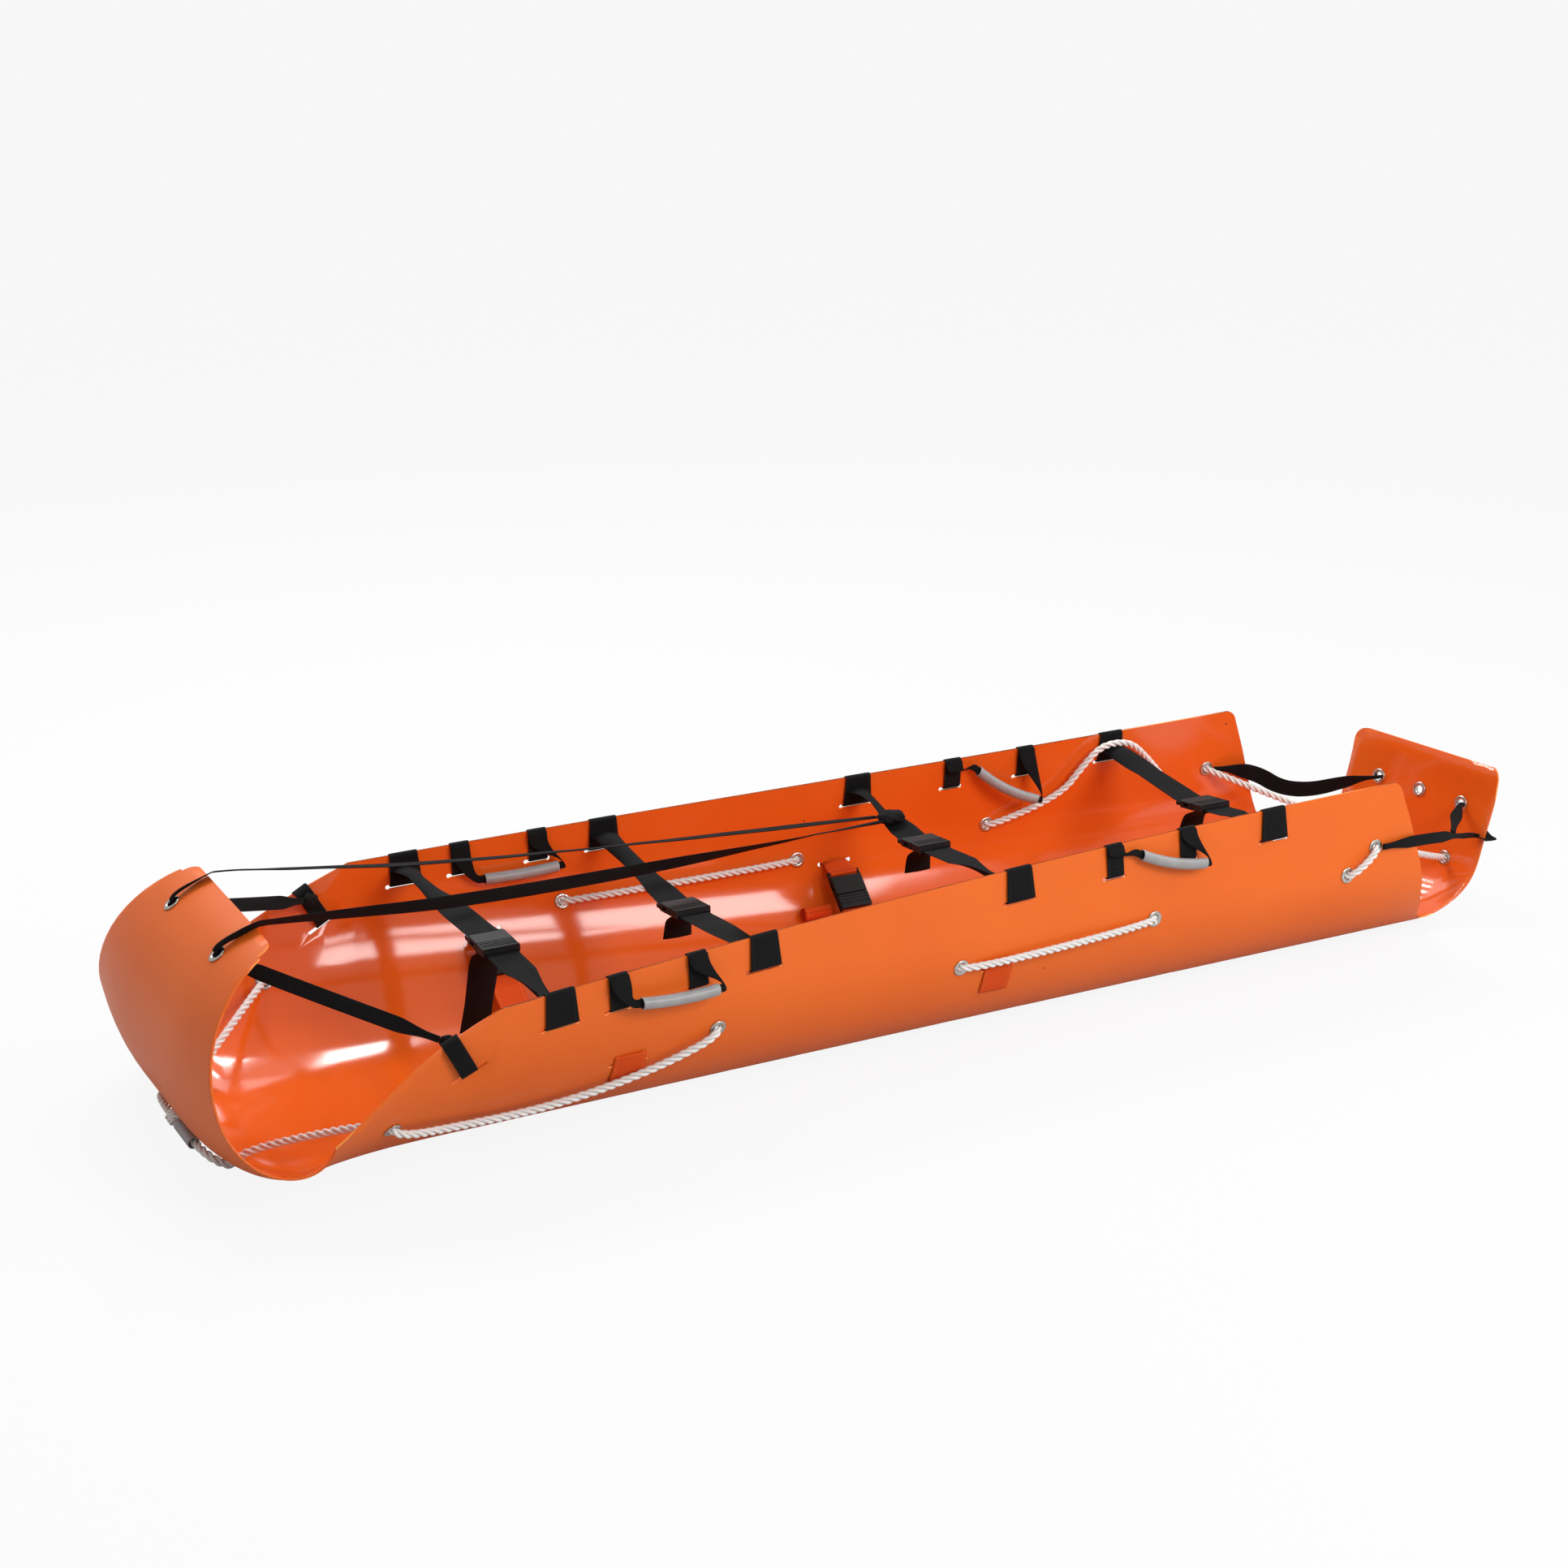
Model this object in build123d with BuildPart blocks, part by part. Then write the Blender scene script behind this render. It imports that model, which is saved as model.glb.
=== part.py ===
from build123d import *
import math
import os

# Roll-up drag stretcher in use: one bent plastic sheet, laced with rope and strapped with webbing.
# +X runs along the trough to the end flap, the curl is at -X, near wall is -Y, +Z is up.
# The origin is on the floor under the middle of the trough.

# Sheet
sheet_thickness = 3.0
half_girth = 460.0
floor_half = 80.0
corner_x = -708.0
wall_end_x = 850.0
lean_left = 88.0
lean_middle = 96.5
lean_right = 93.5
straight_left = 30.0
straight_right = 140.0

# Outline of the wall's end, as steps from the rim's corner
wall_end = [(-40.0, 3.0), (9.0, -1.0), (36.0, -74.0), (56.0, -136.0), (75.0, -208.0), (94.0, -250.0)]
wall_end_round = 22.0
wall_end_foot = 22.0

# Curl at the left end
curl_start_x = -950.0
curl_radius_low = 155.0
curl_radius_high = 190.0
curl_turn_high = 73.0
curl_yaw = 1.6
curl_end_half = 176.3
curl_relax = 7.7e-6
curl_round = 22.0

# End flap at the right end
flap_start_x = 979.0
flap_radius = 103.0
flap_turn = 79.5
flap_run = 173.0
flap_yaw = 8.9
flap_half = 157.0
flap_relax = 3.5e-5
flap_round = 22.0

# Webbing
webbing_width = 48.0
webbing_thickness = 1.6
webbing_bend = 9.0
slit_length = 53.0
slit_height = 5.0
slit_relief = 3.5
ring_drop = 42.0
ring_gap = 2.4
strap_leave = 25.0
strap_stations = [-624.0, -307.0, 129.0, 606.0]
buckle_y = [-70.0, -26.0, 20.0, -52.0]
buckle_z = [237.0, 219.0, 233.0, 245.0]
clearance = 0.3

# Side-release buckles
buckle_width = 56.0
buckle_thickness = 13.0
buckle_edge = 2.5
socket_length = 30.0
cavity_width = 48.0
cavity_height = 5.2
cavity_depth = 28.0
window_length = 13.0
window_depth = 7.0
window_end = 8.0
plug_length = 24.0
plug_gap = 2.0
prong_play = 0.5
prong_width = 6.0
prong_reach = 22.0
guide_width = 9.0
guide_reach = 20.0
channel_height = 2.8
channel_width = 51.2
grip_rib = 3.0
grip_rib_depth = 1.2
bar_radius = 2.2
bar_reach = 8.0
fold_gap = 0.6
cheek_height = 6.0

# Loose strap ends under the plugs, as sideways and downward steps from the buckle's centre
tail_steps = [[(8, 9), (38, 26), (58, 82), (90, 163)],
              [(6, 9), (26, 22), (30, 52)],
              [(6, 9), (24, 22), (26, 50)],
              [(6, 9), (28, 20), (36, 48)]]

# Carry handles: how far each grip's tube is shifted along the rim, hangs, tilts and stands off
handle_stations = [-475.5, 370.5]
handle_half_span = [61.5, 68.5]
handle_webbing = 30.0
handle_slit = 36.0
handle_hang = {(1, "near"): (20.0, 48.0, 5.0, 22.0), (1, "far"): (30.0, 58.0, 0.0, 9.0),
               (2, "near"): (32.0, 38.0, 17.0, 14.0), (2, "far"): (24.0, 54.0, 32.0, 24.0)}
tube_length = 118.0
tube_outer = 8.5
tube_inner = 7.0
grip_tip = 6.0
grip_tip_gap = 12.0
grip_core_width = 12.4
grip_core_height = 4.4
hinge_gap = 0.4

# Rope and grommets
rope_radius = 6.0
rope_stand = 14.0
rope_lie = 9.5
rope_over_patch = 12.8
rope_corner = (52.0, 278.0)
rope_outside = [(-640.0, 190.0), (-540.0, 176.0), (-450.0, 152.0)]
rope_over_strap = [(505, 215, 198), (543, 209, 244), (573, 205, 274), (606, 203, 280), (640, 204, 273),
                   (674, 208, 242), (712, 211, 200)]
tow_tube_length = 66.0
tow_tube_play = 0.5
tow_knot_radius = 11.0
tow_run = 364.0
tow_girth = 112.0
tow_knot_ends = (-8.0, 24.0)
grommet_bore = 6.7
grommet_barrel = 8.2
grommet_flange = 12.5
grommet_flange_thickness = 1.1
hole_radius = 8.5
flange_gap = 1.0

# Narrow ties
tie_radius = 3.2
tie_stand = 13.0
tie_width = 25.0
tie_slit = 46.0
tie_slit_drop = 68.0
tie_slit_length = 54.0
tie_edge_run = 75.0
tie_ring_gap = 8.0
tie_edge_play = 1.3
tie_lump = (34.0, 22.0, 15.0)
tie_knot_y = 118.0
tie_knot_size = (44.0, 34.0, 20.0)
knot_round = 6.0

# Roll-up straps
roll_stations = [-512.0, 92.0]
roll_width = 48.0
roll_slit_drop = 145.0
roll_patch_top = 128.0
roll_patch_bottom = 188.0
roll_lie = 4.2
roll_bar_depth = 27.0
roll_bar_fall = 18.0
roll_toward = 12.0
roll_rise = 60.0
roll_floor_reach = 20.0
coil_radius = 12.0
coil_shift = 56.0
coil_angle = 50.0
coil_play = 1.0

half = sheet_thickness / 2
os.makedirs("parts", exist_ok=True)


def finish(builder, name):
    """Label one finished sub-part and write its file."""
    builder.part.label = name
    export_step(builder.part, f"parts/{name}.step")


# The sheet's middle surface, as points at a distance along the length and round the girth

def trough_section(x):
    """Flat half width, corner radius, corner turn and straight top of the wall at x."""
    share = (x - corner_x) / (wall_end_x - corner_x)
    lean = (lean_left * (1 - share) * (1 - 2 * share)
            + lean_middle * 4 * share * (1 - share)
            + lean_right * share * (2 * share - 1))
    straight = straight_left + (straight_right - straight_left) * share
    turn = math.radians(lean)
    return floor_half, (half_girth - floor_half - straight) / turn, turn, straight


def across(flat, radius, turn, girth):
    """Sideways distance and rise of the point at this girth distance from the centre line."""
    if girth <= flat:
        return girth, 0.0
    angle = min((girth - flat) / radius, turn)
    rest = girth - flat - radius * angle
    side = flat + radius * math.sin(angle) + rest * math.cos(angle)
    return side, radius * (1 - math.cos(angle)) + rest * math.sin(angle)


curl_floor = corner_x - curl_start_x
curl_quarter = curl_radius_low * math.pi / 2
curl_length = curl_floor + curl_quarter + curl_radius_high * math.radians(curl_turn_high)
taper_rate = (half_girth - curl_end_half) / curl_length
flap_bend = flap_radius * math.radians(flap_turn)
flap_length = flap_bend + flap_run


def curl_profile(run):
    """Centre line of the curl: x, z and angle turned, at a distance beyond the taper corner."""
    if run <= curl_floor:
        return corner_x - run, 0.0, 0.0
    if run <= curl_floor + curl_quarter:
        angle = (run - curl_floor) / curl_radius_low
        return (curl_start_x - curl_radius_low * math.sin(angle),
                curl_radius_low * (1 - math.cos(angle)), angle)
    angle = (run - curl_floor - curl_quarter) / curl_radius_high
    return (curl_start_x - curl_radius_low + curl_radius_high * (1 - math.cos(angle)),
            curl_radius_low + curl_radius_high * math.sin(angle), math.pi / 2 + angle)


def flap_profile(run):
    """Centre line of the end flap: x, z and angle turned, at a distance beyond its root."""
    if run <= flap_bend:
        angle = run / flap_radius
        return (flap_start_x + flap_radius * math.sin(angle),
                flap_radius * (1 - math.cos(angle)), angle)
    angle = math.radians(flap_turn)
    rest = run - flap_bend
    return (flap_start_x + flap_radius * math.sin(angle) + rest * math.cos(angle),
            flap_radius * (1 - math.cos(angle)) + rest * math.sin(angle), angle)


def curl_section(run):
    """Section of the curl: flat, radius, turn, straight and half girth."""
    flat, radius, turn, straight = trough_section(corner_x)
    radius += curl_relax * run ** 3
    girth = half_girth - taper_rate * run
    return flat, radius, (girth - flat - straight) / radius, straight, girth


def flap_section(run):
    """Section of the end flap: flat, radius and turn."""
    flat, radius, turn, straight = trough_section(flap_start_x)
    radius += flap_relax * run ** 3
    return flat, radius, (flap_half - flat) / radius


def curl_plane(run):
    """Plane across the curl: its x is sideways, its y points into the curl."""
    x, z, angle = curl_profile(run)
    along = max(0.0, (run - curl_floor) / (curl_length - curl_floor))
    yaw = math.radians(curl_yaw) * math.sin(math.pi * min(along, 1.0))
    sideways = Vector(-math.sin(yaw), math.cos(yaw), 0)
    inward = Vector(math.sin(angle) * math.cos(yaw), math.sin(angle) * math.sin(yaw), math.cos(angle))
    return Plane(Vector(x, 0, z + half), x_dir=sideways, z_dir=sideways.cross(inward))


def flap_plane(run):
    """Plane across the end flap: its x is sideways, its y points into the trough."""
    x, z, angle = flap_profile(run)
    yaw = math.radians(flap_yaw) * math.sin(angle)
    sideways = Vector(-math.sin(yaw), math.cos(yaw), 0)
    inward = Vector(-math.sin(angle) * math.cos(yaw), -math.sin(angle) * math.sin(yaw), math.cos(angle))
    return Plane(Vector(x, 0, z + half), x_dir=sideways, z_dir=sideways.cross(inward))


def trough_plane(x):
    return Plane(Vector(x, 0, half), x_dir=(0, 1, 0), z_dir=(1, 0, 0))


def trough_point(x, girth):
    flat, radius, turn, straight = trough_section(x)
    side, rise = across(flat, radius, turn, abs(girth))
    return trough_plane(x).from_local_coords(Vector(math.copysign(side, girth), rise, 0))


def curl_point(run, girth):
    flat, radius, turn, straight, edge = curl_section(run)
    side, rise = across(flat, radius, turn, abs(girth))
    return curl_plane(run).from_local_coords(Vector(math.copysign(side, girth), rise, 0))


def flap_point(run, girth):
    flat, radius, turn = flap_section(run)
    side, rise = across(flat, radius, turn, abs(girth))
    return flap_plane(run).from_local_coords(Vector(math.copysign(side, girth), rise, 0))


def surface_frame(point, run, girth, inside):
    """Frame on the sheet: x along the length, z away from the inside of the bend."""
    along = point(run + 1, girth) - point(run - 1, girth)
    round_it = point(run, girth + 1) - point(run, girth - 1)
    outward = along.cross(round_it).normalized()
    here = point(run, girth)
    if outward.dot(inside - here) > 0:
        outward = -outward
    return Plane(here, x_dir=along, z_dir=outward)


def wall_frame(x, drop, side):
    """Frame on a wall at a distance below the rim; side is -1 for the near wall."""
    return surface_frame(trough_point, x, side * (half_girth - drop), Vector(x, 0, 200))


def curl_frame(run, girth):
    return surface_frame(curl_point, run, girth, Vector(curl_start_x + 60, 0, 190))


def flap_frame(run, girth):
    return surface_frame(flap_point, run, girth, Vector(flap_start_x - 100, 0, 260))


def turned(plane, about_x=0.0, about_z=0.0):
    """A plane turned about its own x or z, in degrees."""
    return Plane(plane.location * Location((0, 0, 0), (about_x, 0, about_z)))


def above(frame, height, along=0.0, up=0.0):
    """A point off a surface frame: positive height is outside the trough."""
    return frame.from_local_coords(Vector(along, up, height))


def section_line(flat, radius, turn, straight):
    """Closed outline of the sheet's section in a plane whose y points inward."""
    def rim(reach, distance):
        return (flat + reach * math.sin(turn) + distance * math.cos(turn),
                radius - reach * math.cos(turn) + distance * math.sin(turn))

    def bend(reach):
        return (flat + reach * math.sin(turn / 2), radius - reach * math.cos(turn / 2))

    def mirrored(point):
        return (-point[0], point[1])

    outer, inner = radius + half, radius - half
    Line((-flat, -half), (flat, -half))
    ThreePointArc((flat, -half), bend(outer), rim(outer, 0))
    if straight > 0:
        Line(rim(outer, 0), rim(outer, straight))
    Line(rim(outer, straight), rim(inner, straight))
    if straight > 0:
        Line(rim(inner, straight), rim(inner, 0))
    ThreePointArc(rim(inner, 0), bend(inner), (flat, half))
    Line((flat, half), (-flat, half))
    ThreePointArc((-flat, half), mirrored(bend(inner)), mirrored(rim(inner, 0)))
    if straight > 0:
        Line(mirrored(rim(inner, 0)), mirrored(rim(inner, straight)))
    Line(mirrored(rim(inner, straight)), mirrored(rim(outer, straight)))
    if straight > 0:
        Line(mirrored(rim(outer, straight)), mirrored(rim(outer, 0)))
    ThreePointArc(mirrored(rim(outer, 0)), mirrored(bend(outer)), (-flat, -half))


# Places of holes and slits

ring_inner = half + ring_gap
ring_radius = ring_inner + webbing_thickness / 2
ring_sink = math.sqrt((ring_inner - clearance) ** 2 - half ** 2)
slit_drop = ring_sink + ring_drop + ring_radius
strap_slits = [wall_frame(x, slit_drop, side) for x in strap_stations for side in (-1, 1)]
handle_slits = [wall_frame(x + end * span, slit_drop, side)
                for x, span in zip(handle_stations, handle_half_span)
                for end in (-1, 1) for side in (-1, 1)]
roll_slits = [wall_frame(x, roll_slit_drop, side) for x in roll_stations for side in (-1, 1)]
tie_slits = []
tie_edges = []
for side in (-1, 1):
    slit_frame = curl_frame(tie_slit, side * (half_girth - taper_rate * tie_slit - tie_slit_drop))
    edge_point = curl_point(tie_edge_run, side * (half_girth - taper_rate * tie_edge_run))
    away = (edge_point - slit_frame.origin).normalized()
    tie_slits.append(Plane(slit_frame.origin, x_dir=away.cross(slit_frame.z_dir), z_dir=slit_frame.z_dir))
    tie_edges.append(edge_point)

row_places = {"b": (-378.0, 124.0), "c": (26.0, 130.0), "d": (376.0, 130.0), "e": (756.0, 136.0),
              "f": (812.0, 100.0)}
row_frames = {side: {key: wall_frame(x, drop, side) for key, (x, drop) in row_places.items()}
              for side in (-1, 1)}
corner_run, corner_girth = 148.0, 308.0
root_run, root_girth = 318.0, 120.0
flap_low, flap_low_girth = flap_length - 174.0, 82.0
flap_high, flap_high_girth = flap_length - 75.0, 90.0
curl_hole, curl_hole_girth = curl_length - 61.0, 105.0
for side in (-1, 1):
    row_frames[side]["a"] = curl_frame(corner_run, side * corner_girth)
    row_frames[side]["h"] = curl_frame(root_run, side * root_girth)
    row_frames[side]["g"] = flap_frame(flap_low, side * flap_low_girth)
curl_holes = [curl_frame(curl_hole, side * curl_hole_girth) for side in (-1, 1)]
flap_holes = [flap_frame(flap_high, side * flap_high_girth) for side in (-1, 0, 1)]
all_holes = [frame for side in (-1, 1) for frame in row_frames[side].values()] + curl_holes + flap_holes

# Sheet: trough, curl and flap are three lofts of one thin section, joined into one piece
trough_steps = 5
root_steps = 4
curl_steps = 9
flap_steps = 7


def section_sketches(planes, sections):
    """The sheet's thin section standing on each plane."""
    sketches = []
    for plane, section in zip(planes, sections):
        with BuildSketch(plane) as sketch:
            with BuildLine():
                section_line(*section)
            make_face()
        sketches.append(sketch.sketch)
    return sketches


def spread(first, last, steps):
    return [first + (last - first) * step / steps for step in range(steps + 1)]


def rounding(frame, side, radius):
    """What a corner of the sheet's end loses when it is rounded: x runs off the end."""
    reach = radius + 30
    bulge = radius * (1 - math.cos(math.pi / 4))
    with BuildPart() as cutter:
        with BuildSketch(frame.offset(-8)):
            with BuildLine():
                Line((-radius, 0), (-radius, side * reach))
                Line((-radius, side * reach), (reach, side * reach))
                Line((reach, side * reach), (reach, -side * radius))
                Line((reach, -side * radius), (0, -side * radius))
                ThreePointArc((0, -side * radius), (-bulge, -side * bulge), (-radius, 0))
            make_face()
        extrude(amount=16)
    return cutter.part


def curl_end_corner(side):
    edge = curl_section(curl_length)[4]
    frame = curl_frame(curl_length - 1, side * edge)
    frame = Plane(curl_point(curl_length, side * edge), x_dir=frame.x_dir, z_dir=frame.z_dir)
    return rounding(frame, frame_side(frame, side), curl_round)


def flap_end_corner(side):
    frame = flap_frame(flap_length - 1, side * flap_half)
    frame = Plane(flap_point(flap_length, side * flap_half), x_dir=frame.x_dir, z_dir=frame.z_dir)
    return rounding(frame, frame_side(frame, side), flap_round)


def frame_side(frame, side):
    """Which way the frame's own y points off this side of the sheet: 1 or -1."""
    return 1 if frame.y_dir.Y * side > 0 else -1


with BuildPart() as trough:
    stations = spread(corner_x, flap_start_x, trough_steps)
    loft(section_sketches([trough_plane(x) for x in stations], [trough_section(x) for x in stations]))
    # The wall's end slants outward from the rim, and ends where the flap begins
    rim_z = trough_point(wall_end_x, half_girth).Z
    with BuildSketch(Plane.XZ):
        with BuildLine():
            corners = [(wall_end_x + step, rim_z + rise) for step, rise in wall_end]
            edge = FilletPolyline(*corners, (flap_start_x, wall_end_foot), radius=wall_end_round)
            Polyline(edge @ 1, (flap_start_x + half_girth, wall_end_foot),
                     (flap_start_x + half_girth, half_girth), (corners[0][0], half_girth), edge @ 0)
        make_face()
    extrude(amount=half_girth, both=True, mode=Mode.SUBTRACT)
with BuildPart() as root:
    runs = spread(0, curl_floor, root_steps)
    loft(section_sketches([curl_plane(run) for run in runs], [curl_section(run)[:4] for run in runs]))
with BuildPart() as curl:
    runs = spread(curl_floor, curl_length, curl_steps)
    loft(section_sketches([curl_plane(run) for run in runs], [curl_section(run)[:4] for run in runs]))
    corner_cuts = [curl_end_corner(side) for side in (-1, 1)]
    add(corner_cuts, mode=Mode.SUBTRACT)
with BuildPart() as flap:
    runs = spread(0, flap_length, flap_steps)
    loft(section_sketches([flap_plane(run) for run in runs], [(*flap_section(run), 0) for run in runs]))
    corner_cuts = [flap_end_corner(side) for side in (-1, 1)]
    add(corner_cuts, mode=Mode.SUBTRACT)
with BuildPart() as sheet:
    add(trough)
    add(root)
    add(curl)
    add(flap)
    for frames, length in ((strap_slits + roll_slits, slit_length), (handle_slits, handle_slit)):
        with Locations(*[frame.location for frame in frames]):
            Box(length, slit_height, 6 * half, mode=Mode.SUBTRACT)
        relief = [Plane(above(frame, 0, end * length / 2), x_dir=frame.x_dir, z_dir=frame.z_dir)
                  for frame in frames for end in (-1, 1)]
        with Locations(*[plane.location for plane in relief]):
            Cylinder(slit_relief, 6 * half, mode=Mode.SUBTRACT)
    with Locations(*[frame.location for frame in tie_slits]):
        Box(tie_slit_length, slit_height, 6 * half, mode=Mode.SUBTRACT)
    with Locations(*[frame.location for frame in all_holes]):
        Cylinder(hole_radius, 8 * half, mode=Mode.SUBTRACT)
finish(sheet, "sheet")

# Grommets: a flanged ring through each hole of the sheet
flange_low = half + flange_gap
flange_top = flange_low + grommet_flange_thickness
with BuildPart() as grommet:
    with BuildSketch(Plane.XZ):
        with BuildLine():
            Polyline((grommet_bore, -flange_top), (grommet_flange, -flange_top),
                     (grommet_flange, -flange_low), (grommet_barrel, -flange_low),
                     (grommet_barrel, flange_low), (grommet_flange, flange_low),
                     (grommet_flange, flange_top), (grommet_bore, flange_top), close=True)
        make_face()
    revolve(axis=Axis.Z)
grommet_groups = {"near": list(row_frames[-1].values()), "far": list(row_frames[1].values()),
                  "curl": curl_holes, "flap": flap_holes}
for group, frames in grommet_groups.items():
    with BuildPart() as grommets:
        with Locations(*[frame.location for frame in frames]):
            add(grommet.part)
    finish(grommets, f"grommets_{group}")


def cord(points, radius, name):
    """A round cord along straight runs joined by arcs as large as the runs allow."""
    points = [Vector(point) for point in points]
    radii = []
    for before, here, after in zip(points, points[1:], points[2:]):
        turn = math.radians((here - before).get_angle(after - here))
        shorter = min((here - before).length, (after - here).length)
        radii.append(0.45 * shorter / math.tan(turn / 2))
    with BuildPart() as tube:
        with BuildLine() as path:
            FilletPolyline(*points, radius=radii)
        route = path.wires()[0]
        with BuildSketch(Plane(route @ 0, z_dir=route % 0)):
            Circle(radius)
        sweep(path=route)
    ratio = tube.part.volume / (math.pi * radius ** 2 * route.length)
    print(name, "length", round(route.length), "radii", [round(value) for value in radii],
          "volume ratio", round(ratio, 4))
    return tube.part


def through(frame, stand, outward=True, up=0.0):
    """The two corners of a cord that passes through a hole, inside first if outward."""
    corners = [above(frame, -stand, up=up), above(frame, stand, up=up)]
    return corners if outward else corners[::-1]


# Rope: one lacing on each side, from the tow knot under the curl to the middle of the end flap
tow_height = half + tow_knot_radius + 2 * clearance
tow_ends = [above(curl_frame(tow_run, end * tow_girth / 2), tow_height) for end in (-1, 1)]


def tow_line(y):
    """The point of the rope's tow stretch at this y, under the curl."""
    near, far = tow_ends
    return near + (far - near) * ((y - near.Y) / (far.Y - near.Y))


def side_rope(side):
    """Route of one side's rope, from its end in the tow knot."""
    row = row_frames[side]
    near_side = side < 0
    outside = [curl_frame(rope_corner[0], side * rope_corner[1])] + [
        wall_frame(x, drop, side) for x, drop in rope_outside]
    points = [tow_line(tow_knot_ends[0] if near_side else tow_knot_ends[1]), tow_line(side * tow_girth)]
    points += through(row["h"], rope_stand, outward=False)
    points += through(row["a"], rope_stand)
    points += [above(frame, rope_over_patch) for frame in outside]
    points += through(row["b"], rope_stand, outward=False)
    points += through(row["c"], rope_stand)
    points += through(row["d"], rope_stand, outward=False)
    if not near_side:
        points += [Vector(*point) for point in rope_over_strap]
    points += through(row["e"], rope_stand)
    points += through(row["f"], rope_stand, outward=False)
    points += through(row["g"], rope_stand)
    points += [above(flap_frame(flap_low, side * clearance * 2), rope_lie + 1)]
    return points


for side, word in ((-1, "near"), (1, "far")):
    tube = cord(side_rope(side), rope_radius, f"rope_{word}")
    with BuildPart() as rope:
        add(tube)
    finish(rope, f"rope_{word}")

knot_start, knot_end = [tow_line(y) for y in tow_knot_ends]
with BuildPart() as tow_knot:
    with BuildSketch(Plane(knot_start, z_dir=knot_end - knot_start)):
        Circle(tow_knot_radius)
    extrude(amount=(knot_end - knot_start).length)
    fillet(tow_knot.edges(), radius=0.4 * tow_knot_radius)
finish(tow_knot, "tow_knot")

with BuildPart() as tow_tube:
    with BuildSketch(Plane(tow_line(tow_knot_ends[0] - rope_radius), z_dir=knot_start - knot_end)):
        Circle(tube_outer)
        Circle(rope_radius + tow_tube_play, mode=Mode.SUBTRACT)
    extrude(amount=tow_tube_length)
finish(tow_tube, "tow_tube")


# Webbing rings: a strap passes round the edge of the sheet and back through its slit

def ring(plane, width, drop, inner=ring_inner):
    """A flat loop of webbing; the plane's y points off the sheet's edge, its x is outward."""
    with BuildPart() as loop:
        with BuildSketch(plane):
            with Locations((0, -drop / 2)):
                SlotCenterToCenter(drop, 2 * (inner + webbing_thickness), rotation=90)
                SlotCenterToCenter(drop, 2 * inner, rotation=90, mode=Mode.SUBTRACT)
        extrude(amount=width / 2, both=True)
    return loop.part


def edge_ring_plane(centre, low, along):
    """Plane across an edge at a ring's upper centre, square to the direction along the edge."""
    away = centre - low
    away = (away - along * away.dot(along)).normalized()
    return Plane(centre, x_dir=away.cross(along), z_dir=along)


def rim_ring_plane(x, side):
    centre = trough_point(x, side * (half_girth - ring_sink))
    low = trough_point(x, side * (half_girth - ring_sink - ring_drop))
    return edge_ring_plane(centre, low, wall_frame(x, ring_drop / 2, side).x_dir)


def station_plane(x):
    """Plane across the trough: its x is the model's Y, its y is up."""
    return Plane(Vector(x, 0, 0), x_dir=(0, 1, 0), z_dir=(1, 0, 0))


def band(x, points, width):
    """A flat strap through points given as sideways and height, standing across the trough."""
    with BuildPart() as strap:
        with BuildSketch(station_plane(x)):
            with BuildLine() as line:
                if len(points) > 2:
                    FilletPolyline(*points, radius=webbing_bend)
                else:
                    Line(*points)
            trace(line.edges(), line_width=webbing_thickness)
        extrude(amount=width / 2, both=True)
    return strap.part


# Side-release buckles. In a buckle's frame y runs from the socket to the plug along the webbing,
# z is up, and the webbing that the plug slides on lies at z = 0.
body_low = -channel_height / 2 - 1.8
body_high = body_low + buckle_thickness
prong_z = (body_low + body_high) / 2
bar_y = -socket_length - bar_reach
fold = bar_radius + fold_gap + webbing_thickness / 2


def buckle_plane(x, y, z, toward):
    """Frame of a buckle whose plug points at another point across the trough."""
    along = Vector(0, toward[0] - y, toward[1] - z).normalized()
    return Plane(Vector(x, y, z), x_dir=(-1, 0, 0), z_dir=Vector(-1, 0, 0).cross(along))


def block(width, start, end, middle, height, mode=Mode.ADD, offset=0.0):
    """A box from start to end along a buckle, centred at a height."""
    with Locations((offset, (start + end) / 2, middle)):
        Box(width, end - start, height, mode=mode)


with BuildPart() as socket:
    block(buckle_width, -socket_length, 0, prong_z, buckle_thickness)
    fillet(socket.edges().filter_by(Axis.Y), radius=buckle_edge)
    block(cavity_width, -cavity_depth, 1, prong_z, cavity_height, Mode.SUBTRACT)
    cheek = (buckle_width - channel_width) / 2
    for end in (-1, 1):
        block(2 * window_depth, -window_end - window_length, -window_end, prong_z, cavity_height,
              Mode.SUBTRACT, end * buckle_width / 2)
        block(cheek, bar_y - bar_radius - 1, -socket_length, prong_z, cheek_height,
              offset=end * (buckle_width - cheek) / 2)
    with Locations(Location((0, bar_y, prong_z), (0, 90, 0))):
        Cylinder(bar_radius, buckle_width)

with BuildPart() as plug:
    block(buckle_width, plug_gap, plug_gap + plug_length, prong_z, buckle_thickness)
    fillet(plug.edges().filter_by(Axis.Y), radius=buckle_edge)
    prong_height = cavity_height - 2 * prong_play
    for end in (-1, 1):
        block(prong_width, -prong_reach, plug_gap, prong_z, prong_height,
              offset=end * (cavity_width / 2 - prong_play - prong_width / 2))
    block(guide_width, -guide_reach, plug_gap, prong_z, prong_height)
    block(channel_width, plug_gap - 1, plug_gap + plug_length + 1, 0, channel_height, Mode.SUBTRACT)
    for step in range(3):
        start = plug_gap + grip_rib + 2 * grip_rib * step
        block(channel_width, start, start + grip_rib, body_high, 2 * grip_rib_depth, Mode.SUBTRACT)


def placed(shape, frame, name):
    """Write a copy of a shape that was modelled in its own frame."""
    with BuildPart() as piece:
        with Locations(frame.location):
            add(shape)
    finish(piece, name)


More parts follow.
